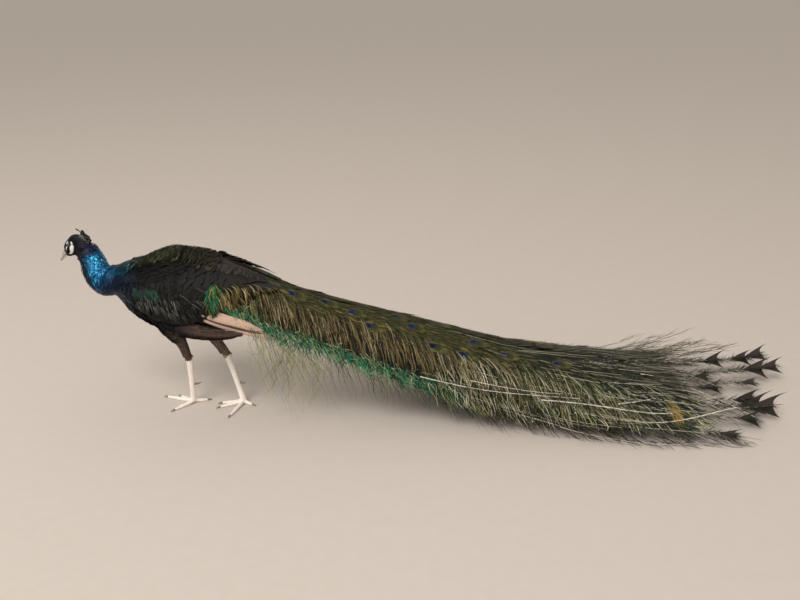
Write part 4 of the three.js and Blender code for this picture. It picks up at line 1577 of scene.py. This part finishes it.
def roof(name, first, last, count, width, reach):
    """Short barbs from one distance to another, up to a width of q on both sides."""
    coat = Coat(name)
    x = np.sort(rng.uniform(first, last, count))
    q = rng.uniform(-width, width, count)
    c = train_tones(count, "45452a", "34361f", "565636", "3d3f28")
    edge = soft(0.25, 0.44, np.abs(q))
    c = mix(c, train_tones(count, "29261a", "3a3522"), edge * 0.8)
    gold = rng.random(count) < 0.05 + 0.04 * (np.abs(q) < 0.3)
    c[gold] = train_tones(gold.sum(), "8c7a4c", "7a5f38")
    late = soft(560, 900, x)
    c = mix(c, train_tones(count, "16211a", "2f3a28", "0f1612", "6f6b50", "141b12"), late * 0.9)
    barbs(coat, x, q, reach * rng.uniform(0.75, 1.2, count),
          rng.normal(0.10, 0.05, count) * (0.3 + np.abs(q)), rng.uniform(0.9, 1.7, count), 5,
          (c * 0.75, c), lift=(-3.0, rng.uniform(1.0, 4.5, count)))
    return coat


def rump():
    """Scales between the wings, where the train begins."""
    coat = Coat("train_rump")
    along, turn = tiles(392, 520, 6.5, -80, 80, 7.5, 92)
    x = np.interp(along, SPINE.at, SPINE.line[:, 0])
    inside = (np.abs(turn) < np.maximum(wing_edges(along)[0] + 10, 46)) & (x < 170)
    x, q = x[inside], turn[inside] / 90
    c = train_tones(len(x), "4b4a2d", "3c3d28", "5b583a", amount=0.3)
    barbs(coat, x, q, 24 + rng.normal(0, 2, len(x)), 0.02, 5.2, 5, (c * 0.6, c), lift=(-2.0, 3.5),
          width=(0.6, 1.0, 1.0, 0.2), columns=3)
    coat.make(GLOSS_VANE, "train")


rump()
roof("train_roof", 70, 760, 7600, 0.44, 52).make(GLOSS_VANE, "train")
roof("train_roof_rear", 740, 1200, 3900, 0.86, 62).make(LOOSE_VANE, "train", "train_rear")

# %% [markdown]
# Down each side hangs a comb: the barbs start backward and curve down to the vertical. They
# stand in loose bundles, golden where they catch the light, which is painted highlight, with brown
# and nearly black ones of painted shade between. Three tiers overlap, each with its own bundles
# over a dense dark ground of painted shade.

# %% Strokes of the comb
# GOLD strokes are the barbs' bronze with painted highlight; BROWN, GROUND and DARK strokes are painted shade
# between and under them.
GOLD, GROUND, BROWN, DARK = range(4)
# pitch, size, kind
BUNDLES = ((2.2, 2, GROUND), (6.0, 2, BROWN), (8.0, 2, GOLD), (9.5, 2, GOLD), (6.0, 2, DARK))


def comb_tones(x, kind):
    """Golden and olive strokes with painted highlight, or the dark brown painted shade between them;
    green-black further back.
    """
    n = len(x)
    if kind in (GROUND, DARK):
        c = train_tones(n, "120e08", "1b1409", "0e0d08")
    elif kind == BROWN:
        c = train_tones(n, "33260f", "2a1f0e", "1f2212", "4a3a1c", amount=0.3)
    else:
        c = train_tones(n, "7f6c46", "665632", "968460", "565a34", "70593a", "ab9c7a", "40421f", amount=0.3)
    late = train_tones(n, "141d17", "7d7a4e", "1a2018", "0e1410", "c2bc90", "3c4a26", "10150f")
    return mix(c, late, soft(560, 960, x) * 0.85)


def comb_places(first, last, pitch, bundle):
    """Places of the strokes: bundles at a loose pitch."""
    slots = np.arange(first, last, pitch)
    slots = slots + rng.normal(0, pitch * 0.13, len(slots))
    slots = slots[rng.random(len(slots)) < 0.9]
    return np.repeat(slots, bundle) + rng.normal(0, 0.9, len(slots) * bundle)


def for_bundles(low, high, bundle, n):
    """One random number for each bundle, given to all its n strokes."""
    return np.repeat(rng.uniform(low, high, n // bundle), bundle)


print("kinds of stroke in a comb:", len(BUNDLES))

# %% [markdown]
# The strokes of one bundle share where they start, how far they run back and how far they
# fall, so that they stay together like a real barb's web.

# %% Combs
# q from, to, fall, end
COMB_TIERS = ((0.18, 0.32, 0.35, 900), (0.29, 0.44, 0.35, 1000), (0.40, 0.55, 0.29, 1060))
OVERLAP_BACK = 18


def comb(side, name):
    coat = Coat(name)
    for low, high, drop, last in COMB_TIERS:
        for pitch, bundle, kind in BUNDLES:
            x = comb_places(TRAIN[0, 0] + 2, last, pitch, bundle)
            n = len(x)
            start = for_bundles(low, high, bundle, n)
            back = for_bundles(58, 92, bundle, n) * (1 + 0.3 * soft(420, 640, x))
            q = (start + rng.normal(0, 0.012, n)).clip(0.2, 0.9)
            rise = {GOLD: (-2.0, rng.uniform(3.0, 7.0, n)), GROUND: (-5.0, -1.0),
                    BROWN: (-4.0, rng.uniform(0.0, 4.0, n)), DARK: (-2.0, rng.uniform(3.0, 7.0, n))}[kind]
            c = comb_tones(x, kind)
            fall = (drop + 0.12 * soft(560, 700, x)) * for_bundles(0.75, 1.15, bundle, n)
            back = back + rng.normal(0, 2, n)
            half = rng.uniform(0.5, 0.8, n) + 0.8 * (kind == GROUND)
            # Roots at four tenths of the tip's tone: painted shade under the roof.
            barbs(coat, x - OVERLAP_BACK, side * q, back, fall, half, 9, (c * 0.4, c), lift=rise, sag=0.42,
                  bend=1.9, wave=1.5)
    return coat


comb(1, "train_comb_left").make(GLOSS_VANE, "train", "train_middle")
comb(-1, "train_comb_right").make(GLOSS_VANE, "train")

# %% [markdown]
# The foremost train coverts come out from under the wing and cover its rear. They are laid on
# the skin itself: golden strokes above, and the start of the emerald fringe below.

# %% Front of the train
def side_barbs(coat, along, turn, reach, fall, half, tones, depth, sag=0.45, points=8, wave=0.0):
    """Barbs on the skin that start backward and curve down its side."""
    n = len(along)
    reach, fall, half, depth = (np.broadcast_to(v, (n,))[:, None] for v in (reach, fall, half, depth))
    t = np.linspace(0, 1, points)[None]
    sway = wave * np.sin(5 * t + rng.uniform(0, 6.3, (n, 1))) * t
    steps = (along[:, None] + reach * (t - sag * t ** 2) + sway).clip(0, SPINE.length)
    turns = turn[:, None] + np.sign(turn)[:, None] * fall * t ** 1.9
    hits, met = SPINE.on(SKIN_TREE, steps, turns, 150)
    out = SPINE.outward(steps, turns)[1]
    keep = met.all(axis=1)
    centres = hits + out * (depth * (0.35 + 0.65 * soft(0, 0.5, t)))[..., None]
    taper = np.interp(t[0], [0, 0.35, 0.7, 1], (0.7, 1.0, 0.8, 0.15))
    # Painted shade: each barb is darker towards its root.
    c = tones[:, None] * (0.55 + 0.45 * soft(0, 0.6, t))[..., None]
    grid = strips(centres[keep], out[keep], (half * taper)[keep], 0.0, 2)
    coat.add(grid, c[keep][:, :, None], unrolled(SPINE, along, turn)[keep])


# As in the comb, GOLD strokes carry painted highlight, and BROWN and GROUND strokes painted shade.
FRONT_BUNDLES = ((2.6, 3, GROUND), (4.0, 5, BROWN), (5.5, 6, GOLD), (7.0, 5, GOLD))
SPINE_AT_ZERO = 391  # distance along the spine where x is 0
EMERALD_HIGH, EMERALD_LOW = 130, 770


def front_gold(coat, side):
    """Golden strokes from under the wing's edge down to the middle of the side."""
    for pitch, bundle, kind in FRONT_BUNDLES:
        along = comb_places(424, 600, pitch, bundle)
        x = along - SPINE_AT_ZERO
        n = len(x)
        top = np.interp(x, [33, 60, 90, 150, 210], [74, 58, 50, 44, 36]) + (14 if side < 0 else 0)
        turn = top + rng.uniform(0, 1, n) * (88 - top)
        c = comb_tones(x, kind)
        reach, fall = rng.uniform(34, 50, n), rng.uniform(14, 30, n)
        half = rng.uniform(0.6, 0.9, n) + 0.7 * (kind == GROUND)
        depth = {GOLD: rng.uniform(10, 13, n), GROUND: 9.0, BROWN: rng.uniform(9, 11, n)}[kind]
        side_barbs(coat, along, side * turn, reach, fall, half, c, depth)


def front_emerald(coat, side):
    """A green patch under the wing, and the start of the fringe below the gold."""
    along = np.r_[rng.uniform(420, 440, EMERALD_HIGH), rng.uniform(428, 520, EMERALD_LOW)]
    turn = np.r_[rng.uniform(56, 84, EMERALD_HIGH), rng.uniform(88, 110, EMERALD_LOW)] - 0.04 * (along - 428)
    n = len(along)
    c = train_tones(n, "14523a", "20704c", "0b352a", "2f8a5a", "6d7f42", "1c2a1c", "7a6a3c", amount=0.4)
    side_barbs(coat, along, side * turn, rng.normal(20, 14, n), rng.uniform(6, 20, n),
               rng.uniform(0.4, 0.9, n), c, rng.uniform(10, 15, n), points=5, wave=5)


coat = Coat("train_front")
for side in (1, -1):
    front_gold(coat, side)
    front_emerald(coat, side)
coat.make(GLOSS_VANE, "train")

# %% [markdown]
# Below the comb a messy emerald fringe follows the lower edge, and long thin olive barbs hang
# from it nearly to the floor. Further back the barbs are fewer, dark with pale curled tips that
# are partly painted highlight.

# %% Emerald fringe and hanging barbs
def emerald_fringe(coat, side):
    n = 2400
    x = 60 + 600 * rng.beta(1.0, 1.3, n)
    c = train_tones(n, "1b7052", "2a8560", "0f4436", "3f9a70", "1f6a58", "0d2a22", "10382c", amount=0.4)
    c = mix(c, train_tones(n, "7d8a5c", "a2ac80", "2b2a1a", "c0bf98"), (rng.random(n) < 0.36) * 1.0)
    low = 0.75 + 0.06 * soft(250, 500, x)
    barbs(coat, x, side * (low + rng.uniform(0, 0.14, n)), rng.normal(5, 20, n), rng.normal(0.05, 0.09, n),
          rng.uniform(0.4, 0.75, n), 5, (c * 0.6, c), lift=(-1.0, rng.uniform(0, 9, n)), sag=0.35, wave=8)


def hanging_barbs(coat, side, share):
    """Long pale barbs behind the legs, and shorter darker ones under the middle of the train."""
    n = int(150 * share)
    x = 115 + 215 * rng.beta(1.8, 2.0, n)
    level = train_size(x)[1]
    c = train_tones(n, "a8a874", "7f8750", "c0b88c", "5a6a44", "6f7d52", amount=0.2)
    barbs(coat, x, side * rng.uniform(0.82, 0.95, n), rng.uniform(-20, 50, n),
          (level / 100 * rng.uniform(0.15, 1.0, n) ** 1.3).clip(0.25, 2.1), rng.uniform(0.3, 0.5, n), 13,
          (c * 0.8, c), lift=(0.0, rng.uniform(-16, 10, n)), sag=0.4, bend=1.2, wave=30)
    n = int(260 * share)
    x = rng.uniform(300, 780, n)
    level = train_size(x)[1]
    c = train_tones(n, "3a4a30", "23291d", "6a6c46", amount=0.25)
    barbs(coat, x, side * rng.uniform(0.85, 1.0, n), rng.uniform(0, 60, n),
          (level / 100 * rng.uniform(0.1, 0.6, n)).clip(0.08, 1), rng.uniform(0.35, 0.55, n), 9, (c, c),
          lift=(0.0, rng.uniform(-8, 12, n)), sag=0.35, bend=1.5, wave=9)


print("fringe makers ready")

# %% [markdown]
# The far side's barbs hang behind the near ones, where fewer are needed to fill the gap.

# %% Rear barbs, and both fringes
FAR_SHARE = 0.45


def rear_barbs(coat, side):
    """Dark barbs with pale curled tips, partly painted highlight, and a few that stray off the edge."""
    n = 1250
    x = 560 + 700 * rng.beta(1.0, 1.5, n)
    c = train_tones(n, "15201a", "1d2a1f", "10150f", "242a1a", "12332a", amount=0.3)
    # The pale tips are partly the barbs' own pale ends and partly painted highlight.
    pale = (rng.random(n) < 0.5)[:, None]
    tip = np.where(pale, train_tones(n, "d8d2ac", "b4b878", "f0ead2", amount=0.15), c)
    narrow = soft(700, 1000, x)
    barbs(coat, x, side * rng.uniform(0.3, 1.0 - 0.22 * narrow, n), rng.uniform(35, 95, n),
          rng.uniform(0.08, 0.42, n) * (1 - 0.45 * narrow), rng.uniform(0.4, 0.85, n), 8, (c, tip),
          lift=(-3.0, rng.uniform(0, 14, n)), sag=0.42, bend=1.5, wave=8)
    n = 200
    x = rng.uniform(560, 1330, n)
    c = train_tones(n, "241f16", "332b1e", "15160f", amount=0.25)
    barbs(coat, x, side * rng.uniform(0.9, 1.0, n), rng.uniform(40, 110, n), rng.uniform(0.1, 0.6, n),
          rng.uniform(0.4, 0.6, n), 8, (c, c * 1.3), lift=(0.0, rng.uniform(2, 30, n)), sag=0.2,
          bend=1.3, wave=12)


for name, side, share in (("left", 1, 1.0), ("right", -1, FAR_SHARE)):
    coat = Coat(f"train_fringe_{name}")
    emerald_fringe(coat, side)
    hanging_barbs(coat, side, share)
    rear_barbs(coat, side)
    coat.make(GLOSS_VANE, "strands", f"strands_{name}")

# %% [markdown]
# Pale shafts show between the barbs, nearly level, and golden clumps break the pattern.

# %% Shafts and golden clumps
CLUMPS = ((980, -0.62, 40, 60), (1020, -0.66, 34, 60), (900, -0.5, 30, 40),
          (1168, 0.60, 6, 44), (860, -0.2, 30, 30))  # distance, q, spread and how many barbs
coat = Coat("train_shafts")
n = 84
x = 520 + 680 * rng.beta(1.6, 1.3, n)
q = rng.uniform(-0.98, 0.98, n)
c = train_tones(n, "c9bea6", "aaa086", "ddd4c0", amount=0.12)
barbs(coat, x, q, rng.uniform(120, 260, n), rng.normal(0.03, 0.05, n), 0.75, 16, (c, c * 0.8),
      lift=(-1.0, 5.5), bend=1.0, width=(1.0, 1.0, 0.8, 0.5), columns=3)
for middle, q, spread, n in CLUMPS:
    x = rng.normal(middle, spread, n)
    c = train_tones(n, "b08f45", "8e7440", "c7a860", amount=0.2)
    barbs(coat, x, q + rng.normal(0, 0.07, n), rng.uniform(18, 40, n), rng.uniform(0.02, 0.2, n), 0.7,
          5, (c * 0.7, c), lift=(1.0, rng.uniform(3, 8, n)), sag=0.3)
n = 60
x = rng.uniform(1040, 1300, n)
c = train_tones(n, "5f5a44", "3f3d2f", amount=0.2)
barbs(coat, x, rng.uniform(-0.3, 0.3, n), rng.uniform(40, 90, n), 0.02, 0.6, 7, (c, c),
      lift=(0.0, rng.uniform(8, 26, n)), wave=5)
coat.make(LOOSE_VANE, "train")

# %% [markdown]
# The eyes of the train are flat discs on the roof. Each is built as a fine grid, and its rings
# are found from the distance to a centre that lies nearer the body: a violet heart, a blue
# and turquoise ring, then bronze, green and a golden rim. Barbs of the rim's colour blend it in.

# %% Eyes of the train
# distance, q and size
EYES = [(236, 0.18, 1.0), (316, 0.14, 1.0), (384, 0.20, 1.0), (428, 0.36, 0.95), (492, 0.06, 1.0),
        (536, 0.18, 1.0), (588, 0.40, 0.95), (664, 0.40, 0.95), (696, 0.16, 1.0), (772, 0.24, 1.0),
        (908, 0.24, 0.9), (1076, -0.06, 0.8),
        (436, -0.44, 1.0), (276, -0.30, 1.0), (340, -0.10, 0.9), (520, -0.24, 1.0), (600, -0.05, 0.9),
        (632, -0.42, 1.0), (744, -0.20, 1.0), (812, -0.46, 1.0), (880, -0.08, 0.95), (1000, -0.34, 0.9),
        (200, -0.45, 0.9), (700, -0.62, 0.9)]


HALF_LONG, HALF_WIDE = 21.0, 13.5
RIM_BARBS = 110


def across(width, x):
    """A width on the roof, in millimetres, as a change of q."""
    return width / (train_size(np.array(x))[2] * np.pi / 2) * 1.25


def eye_disc(coat, x, q, size):
    """A rounded grid with the rings painted on it."""
    s, w = np.meshgrid(np.linspace(-1, 1, 23), np.linspace(-1, 1, 17), indexing="ij")
    skew = rng.normal(0, 0.12)
    round_w = w * np.sqrt(1 - 0.5 * s ** 2)
    round_s = s * np.sqrt(1 - 0.5 * w ** 2)
    dx = HALF_LONG * size * round_s
    dq = across(HALF_WIDE * size * round_w + skew * dx, x)
    points, _ = on_train(x + dx, q + dq, 4.2 + 1.8 * round_s - 1.5 * round_w ** 2)
    ring = np.sqrt(((round_s + 0.36) / 0.56) ** 2 + (round_w / 0.60) ** 2)
    edge = np.sqrt(round_s ** 2 + round_w ** 2)
    c = mix(tone("0f0f24"), tone("20215a"), soft(0.1, 0.6, ring)) * rng.choice([0.35, 0.7, 1.0, 1.15])
    c = mix(c, tone("1b3a48"), soft(0.62, 0.78, ring))
    c = mix(c, tone("34301c"), soft(0.84, 1.0, ring))
    c = mix(c, tone("363d25"), soft(1.3, 1.6, ring))
    c = mix(c, tone("59522f"), soft(0.84, 0.95, edge))
    c = c * np.exp(rng.normal(0, 0.06, (1, 17, 1)))
    coat.add(points[None, :, ::-1], c[None, :, ::-1], train_root(np.array([x]), np.array([q])), patch=0.04)


def rim_barbs(coat, x, q, size):
    a = rng.uniform(-2.6, 2.6, RIM_BARBS)
    rim_x = x + HALF_LONG * size * 0.86 * np.cos(a)
    rim_q = q + across(HALF_WIDE * size * 0.86 * np.sin(a), x)
    c = train_tones(RIM_BARBS, "5c5530", "474b2b", "786a3e", "333a23", amount=0.2)
    barbs(coat, rim_x, rim_q, rng.uniform(10, 22, RIM_BARBS), 0, 0.7, 4, (c, c * 0.8), lift=(4.2, 4.5))


coat = Coat("train_eyes")
for eye in EYES:
    eye_disc(coat, *eye)
    rim_barbs(coat, *eye)
coat.make(GLOSS_VANE, "train")

# %% [markdown]
# The longest feathers end without an eye, in a dark fork like a fish's tail. Each is a long
# pale shaft with sparse dark barbs, and a fork of two curved points at its end. The forks
# stand half upright, because the train rests on its edge.

# %% Shafts and their barbs
REAR_HALF = 220


def rear_root(points):
    """Where feathers of the train's end have their patches."""
    return train_root(points[:, 0], points[:, 1] / REAR_HALF)


def shaft(coat, points, width=0.9, colour="b5ab93", count=14):
    """A stiff shaft along a smooth line, thinner towards its end."""
    line = bent(points, count)
    c = train_tones(1, colour, amount=0.08)[0]
    half = width * np.linspace(1, 0.55, count)[None]
    up = np.broadcast_to(np.array([0.0, -0.5, 1.0]), line.shape)[None]
    coat.add(strips(line[None], up, half, 0.3), c, rear_root(line[:1]))
    return line


def side_growth(coat, line, first, last, n, length, *colours, splay=35, droop=6):
    """Sparse barbs on both sides of a shaft, n on each, from one part of it to another."""
    for flank in (1, -1):
        at = rng.uniform(first, last, n)
        steps = np.linspace(0, 1, len(line))
        root = np.stack([np.interp(at, steps, line[:, k]) for k in range(3)], 1)
        run = unit(line[-1] - line[0])
        across = unit(np.array([-run[1], run[0], 0.0])) * flank
        angle = np.radians(splay + rng.normal(0, 9, n))[:, None]
        ray = np.cos(angle) * run + np.sin(angle) * across
        s = np.linspace(0, 1, 6)
        size = (length * rng.uniform(0.5, 1.15, n))[:, None, None]
        pts = root[:, None] + ray[:, None] * size * s[None, :, None]
        pts[..., 2] += rng.uniform(-droop, droop, (n, 1)) * s ** 2
        pts += rng.normal(0, 1, (n, 1, 3)) * (s ** 2)[None, :, None] * 4
        pts[..., 2] = pts[..., 2].clip(1.0)
        c = train_tones(n, *colours, amount=0.25)
        half = np.broadcast_to(0.6 * np.interp(s, [0, 0.4, 1], [0.8, 1, 0.3]), (n, 6))
        up = np.broadcast_to(np.array([0.0, -0.3, 1.0]), pts.shape)
        coat.add(strips(pts, up, half, 0.0, 2), c[:, None, None], rear_root(root))


print("shafts can be made")

# %% [markdown]
# Each web of a fork is a grid between two curves that leave the shaft together and meet again
# in its point. Their middle points set how full the web is.

# %% Fishtails
# tip x, y and z, size, and how far the fork is stood up, in radians
FORKS = [(1406, 161, 50, 32, 0.9), (1490, 172, 52, 30, 0.9), (1540, 190, 56, 34, 0.7),
         (1513, 114, 48, 36, 1.1), (1556, 122, 50, 32, 0.7), (1360, 28, 34, 28, 0.9),
         (1427, -45, 38, 36, 1.1), (1458, -96, 44, 45, 1.15), (1401, -132, 28, 30, 0.9),
         (1332, -185, 12, 26, 0.3), (1440, -60, 30, 40, 1.2), (1350, 84, 36, 24, 0.7),
         (1470, 60, 30, 24, 0.3)]
WEBS = ((1, 0.7, 1.0), (-1, 0.9, 0.4))  # side of the shaft, how wide and how far each point reaches


def curve(start, middle, end, s):
    """A curve from start to end that bends towards middle."""
    return start * (1 - s) ** 2 + middle * 2 * s * (1 - s) + end * s ** 2


def fork(coat, line, size, stand, colour):
    """The end of a fishtail: two webs that part from the shaft and end in long curved points."""
    end = line[-1]
    run = unit(line[-1] - line[-3])
    side = unit(np.cross(np.array([0.0, 0, 1.0]), run))
    across = np.cos(stand) * side + np.sin(stand) * np.cross(run, side)
    s, w = (v[..., None] for v in np.meshgrid(np.linspace(0, 1, 11), np.linspace(0, 1, 5), indexing="ij"))
    for flank, wide, far in WEBS:
        tip = end + size * (across * flank * wide + run * far) * rng.uniform(0.85, 1.15)
        tip[2] = max(tip[2], 1.2)
        front = curve(end - run * size * 1.4, end + size * (0.5 * flank * across - 0.25 * run), tip, s)
        back = curve(end, end + size * (0.48 * flank * across + 0.02 * run), tip, s)
        grid = front + (back - front) * w
        grid[..., 2] = grid[..., 2].clip(1.0)
        c = mix(tone(colour), tone("463a33"), (0.5 * w + 0.2 * s)[..., 0])
        c = c * np.exp(rng.normal(0, 0.12, (11, 1, 1)))
        if flank < 0:
            grid = grid[:, ::-1]
        coat.add(grid[None], c[None], rear_root(end[None]), patch=0.012)


coat = Coat("train_fishtails")
for x, y, z, size, stand in FORKS:
    start = (x - rng.uniform(300, 420), y * 0.62, 66 + rng.uniform(-14, 20))
    middle = (x - 150, y * 0.9, 16 + 0.35 * z + rng.uniform(0, 14))
    line = shaft(coat, [start, middle, (x, y, z)])
    side_growth(coat, line, 0.25, 0.97, 62, 40, "1a2119", "262a1e", "14261f", "3b3a29")
    side_growth(coat, line, 0.8, 1.0, 40, 26, "221f19", "2c2a20", splay=28)
    fork(coat, line, size, stand, rng.choice(["2a2620", "1f2620", "332c26"]))
coat.make(LOOSE_VANE, "train", "train_end")

# %% [markdown]
# A few shafts lie bare along the lower edge and over the floor, with open barbs. Fine wisps
# rise above the ridge at the rear.

# %% Bare shafts and wisps
# points along each shaft, and its half-width
SHAFTS = [([(931, -167, 63), (1045, -184, 52), (1156, -192, 51), (1273, -174, 66), (1358, -141, 60)], 1.6),
          ([(1041, -159, 83), (1097, -152, 87), (1137, -142, 90)], 1.5),
          ([(896, -183, 32), (990, -210, 20), (1111, -226, 10), (1228, -219, 8)], 0.6),
          ([(549, -133, 146), (664, -145, 123), (760, -158, 114), (860, -168, 110), (940, -176, 107)], 1.3),
          ([(673, -148, 143), (797, -158, 122), (900, -168, 116)], 1.0),
          ([(847, -176, 104), (991, -186, 92), (1089, -192, 79), (1168, -192, 76)], 1.6),
          ([(1180, 30, 112), (1270, 34, 70), (1361, 26, 34)], 1.0),
          ([(1120, -60, 116), (1240, -66, 84), (1401, -132, 30)], 1.2)]
# where the wisps end
WISPS = [(1204, 150, 115), (1289, 176, 130), (1347, 154, 110), (1454, 172, 90), (1250, 120, 104),
         (1400, 166, 96), (1320, 100, 92), (1230, 170, 118), (1380, 172, 104), (1290, 140, 112),
         (1170, 80, 112)]
WISPS_IN_TUFT = 3
coat = Coat("train_open_shafts")
for points, width in SHAFTS:
    line = shaft(coat, points, width, "e2dac8")
    side_growth(coat, line, 0.05, 1.0, 26, 38, "2b291d", "3a3526", "16241d", splay=42, droop=4)
for x, y, z in WISPS:
    for _ in range(WISPS_IN_TUFT):
        end = np.array([x, y, z]) + rng.normal(0, 1, 3) * [26, 14, 7]
        start = np.array([x - rng.uniform(170, 290), y * 0.7, 88 + rng.uniform(-8, 12)])
        middle = (start + end) / 2 + [0, 0, -10]
        line = shaft(coat, [start, middle, end], 0.55, "57513f")
        side_growth(coat, line, 0.1, 0.9, 5, 62, "4a4536", "6d664e", "2c2c20", splay=11, droop=7)
coat.make(LOOSE_VANE, "train")

# %% [markdown]
# ## Floor and light
# The bird stands on a plain pale floor under soft studio light: a broad pale sky, and one
# large lamp high on the left that gives the feathers their sheen.

# %% Floor
def plain_floor():
    bpy.ops.object.select_all(action="DESELECT")
    bpy.ops.mesh.primitive_plane_add(size=140, location=(0, 0, 0))
    floor = bpy.context.object
    floor.name = "floor"
    m, nodes, link, shader = new_material("floor", 0.85)
    grain = texture(nodes, link, "ShaderNodeTexNoise", 30)
    shades = blend(nodes, "MIX", 0.5)
    shades.inputs["A"].default_value = (*tone("cbc0b6"), 1)
    shades.inputs["B"].default_value = (*tone("d0c6bd"), 1)
    link(grain.outputs["Fac"], shades.inputs["Factor"])
    link(shades.outputs["Result"], shader.inputs["Base Color"])
    floor.data.materials.append(m)
    print("floor", tuple(round(v) for v in floor.dimensions[:2]), "m")


plain_floor()

# %% [markdown]
# The sky gives soft light from all sides. The lamp is a wide disk, so that its shadow is soft
# too, and it is a little warm, like late daylight.

# %% Lights
LAMP_PLACE, LAMP_AIM = Vector((-2.2, -3.4, 5.0)), Vector((-0.1, 0, 0.3))
LAMP_WIDTH, LAMP_POWER, SKY_POWER = 3.2, 240, 0.8


def studio_light():
    world = bpy.data.worlds.new("studio")
    world.use_nodes = True
    sky = world.node_tree.nodes["Background"]
    sky.inputs["Color"].default_value = (*tone("e2ddd6"), 1)
    sky.inputs["Strength"].default_value = SKY_POWER
    bpy.context.scene.world = world
    lamp = bpy.data.lights.new("key", "AREA")
    lamp.shape = "DISK"
    lamp.size = LAMP_WIDTH
    lamp.energy = LAMP_POWER
    lamp.color = (1.0, 0.975, 0.94)
    key = bpy.data.objects.new("key", lamp)
    key.location = LAMP_PLACE
    key.rotation_euler = (LAMP_AIM - LAMP_PLACE).to_track_quat("-Z", "Y").to_euler()
    bpy.context.scene.collection.objects.link(key)
    print("lamp of", LAMP_WIDTH, "m at", tuple(key.location))


studio_light()
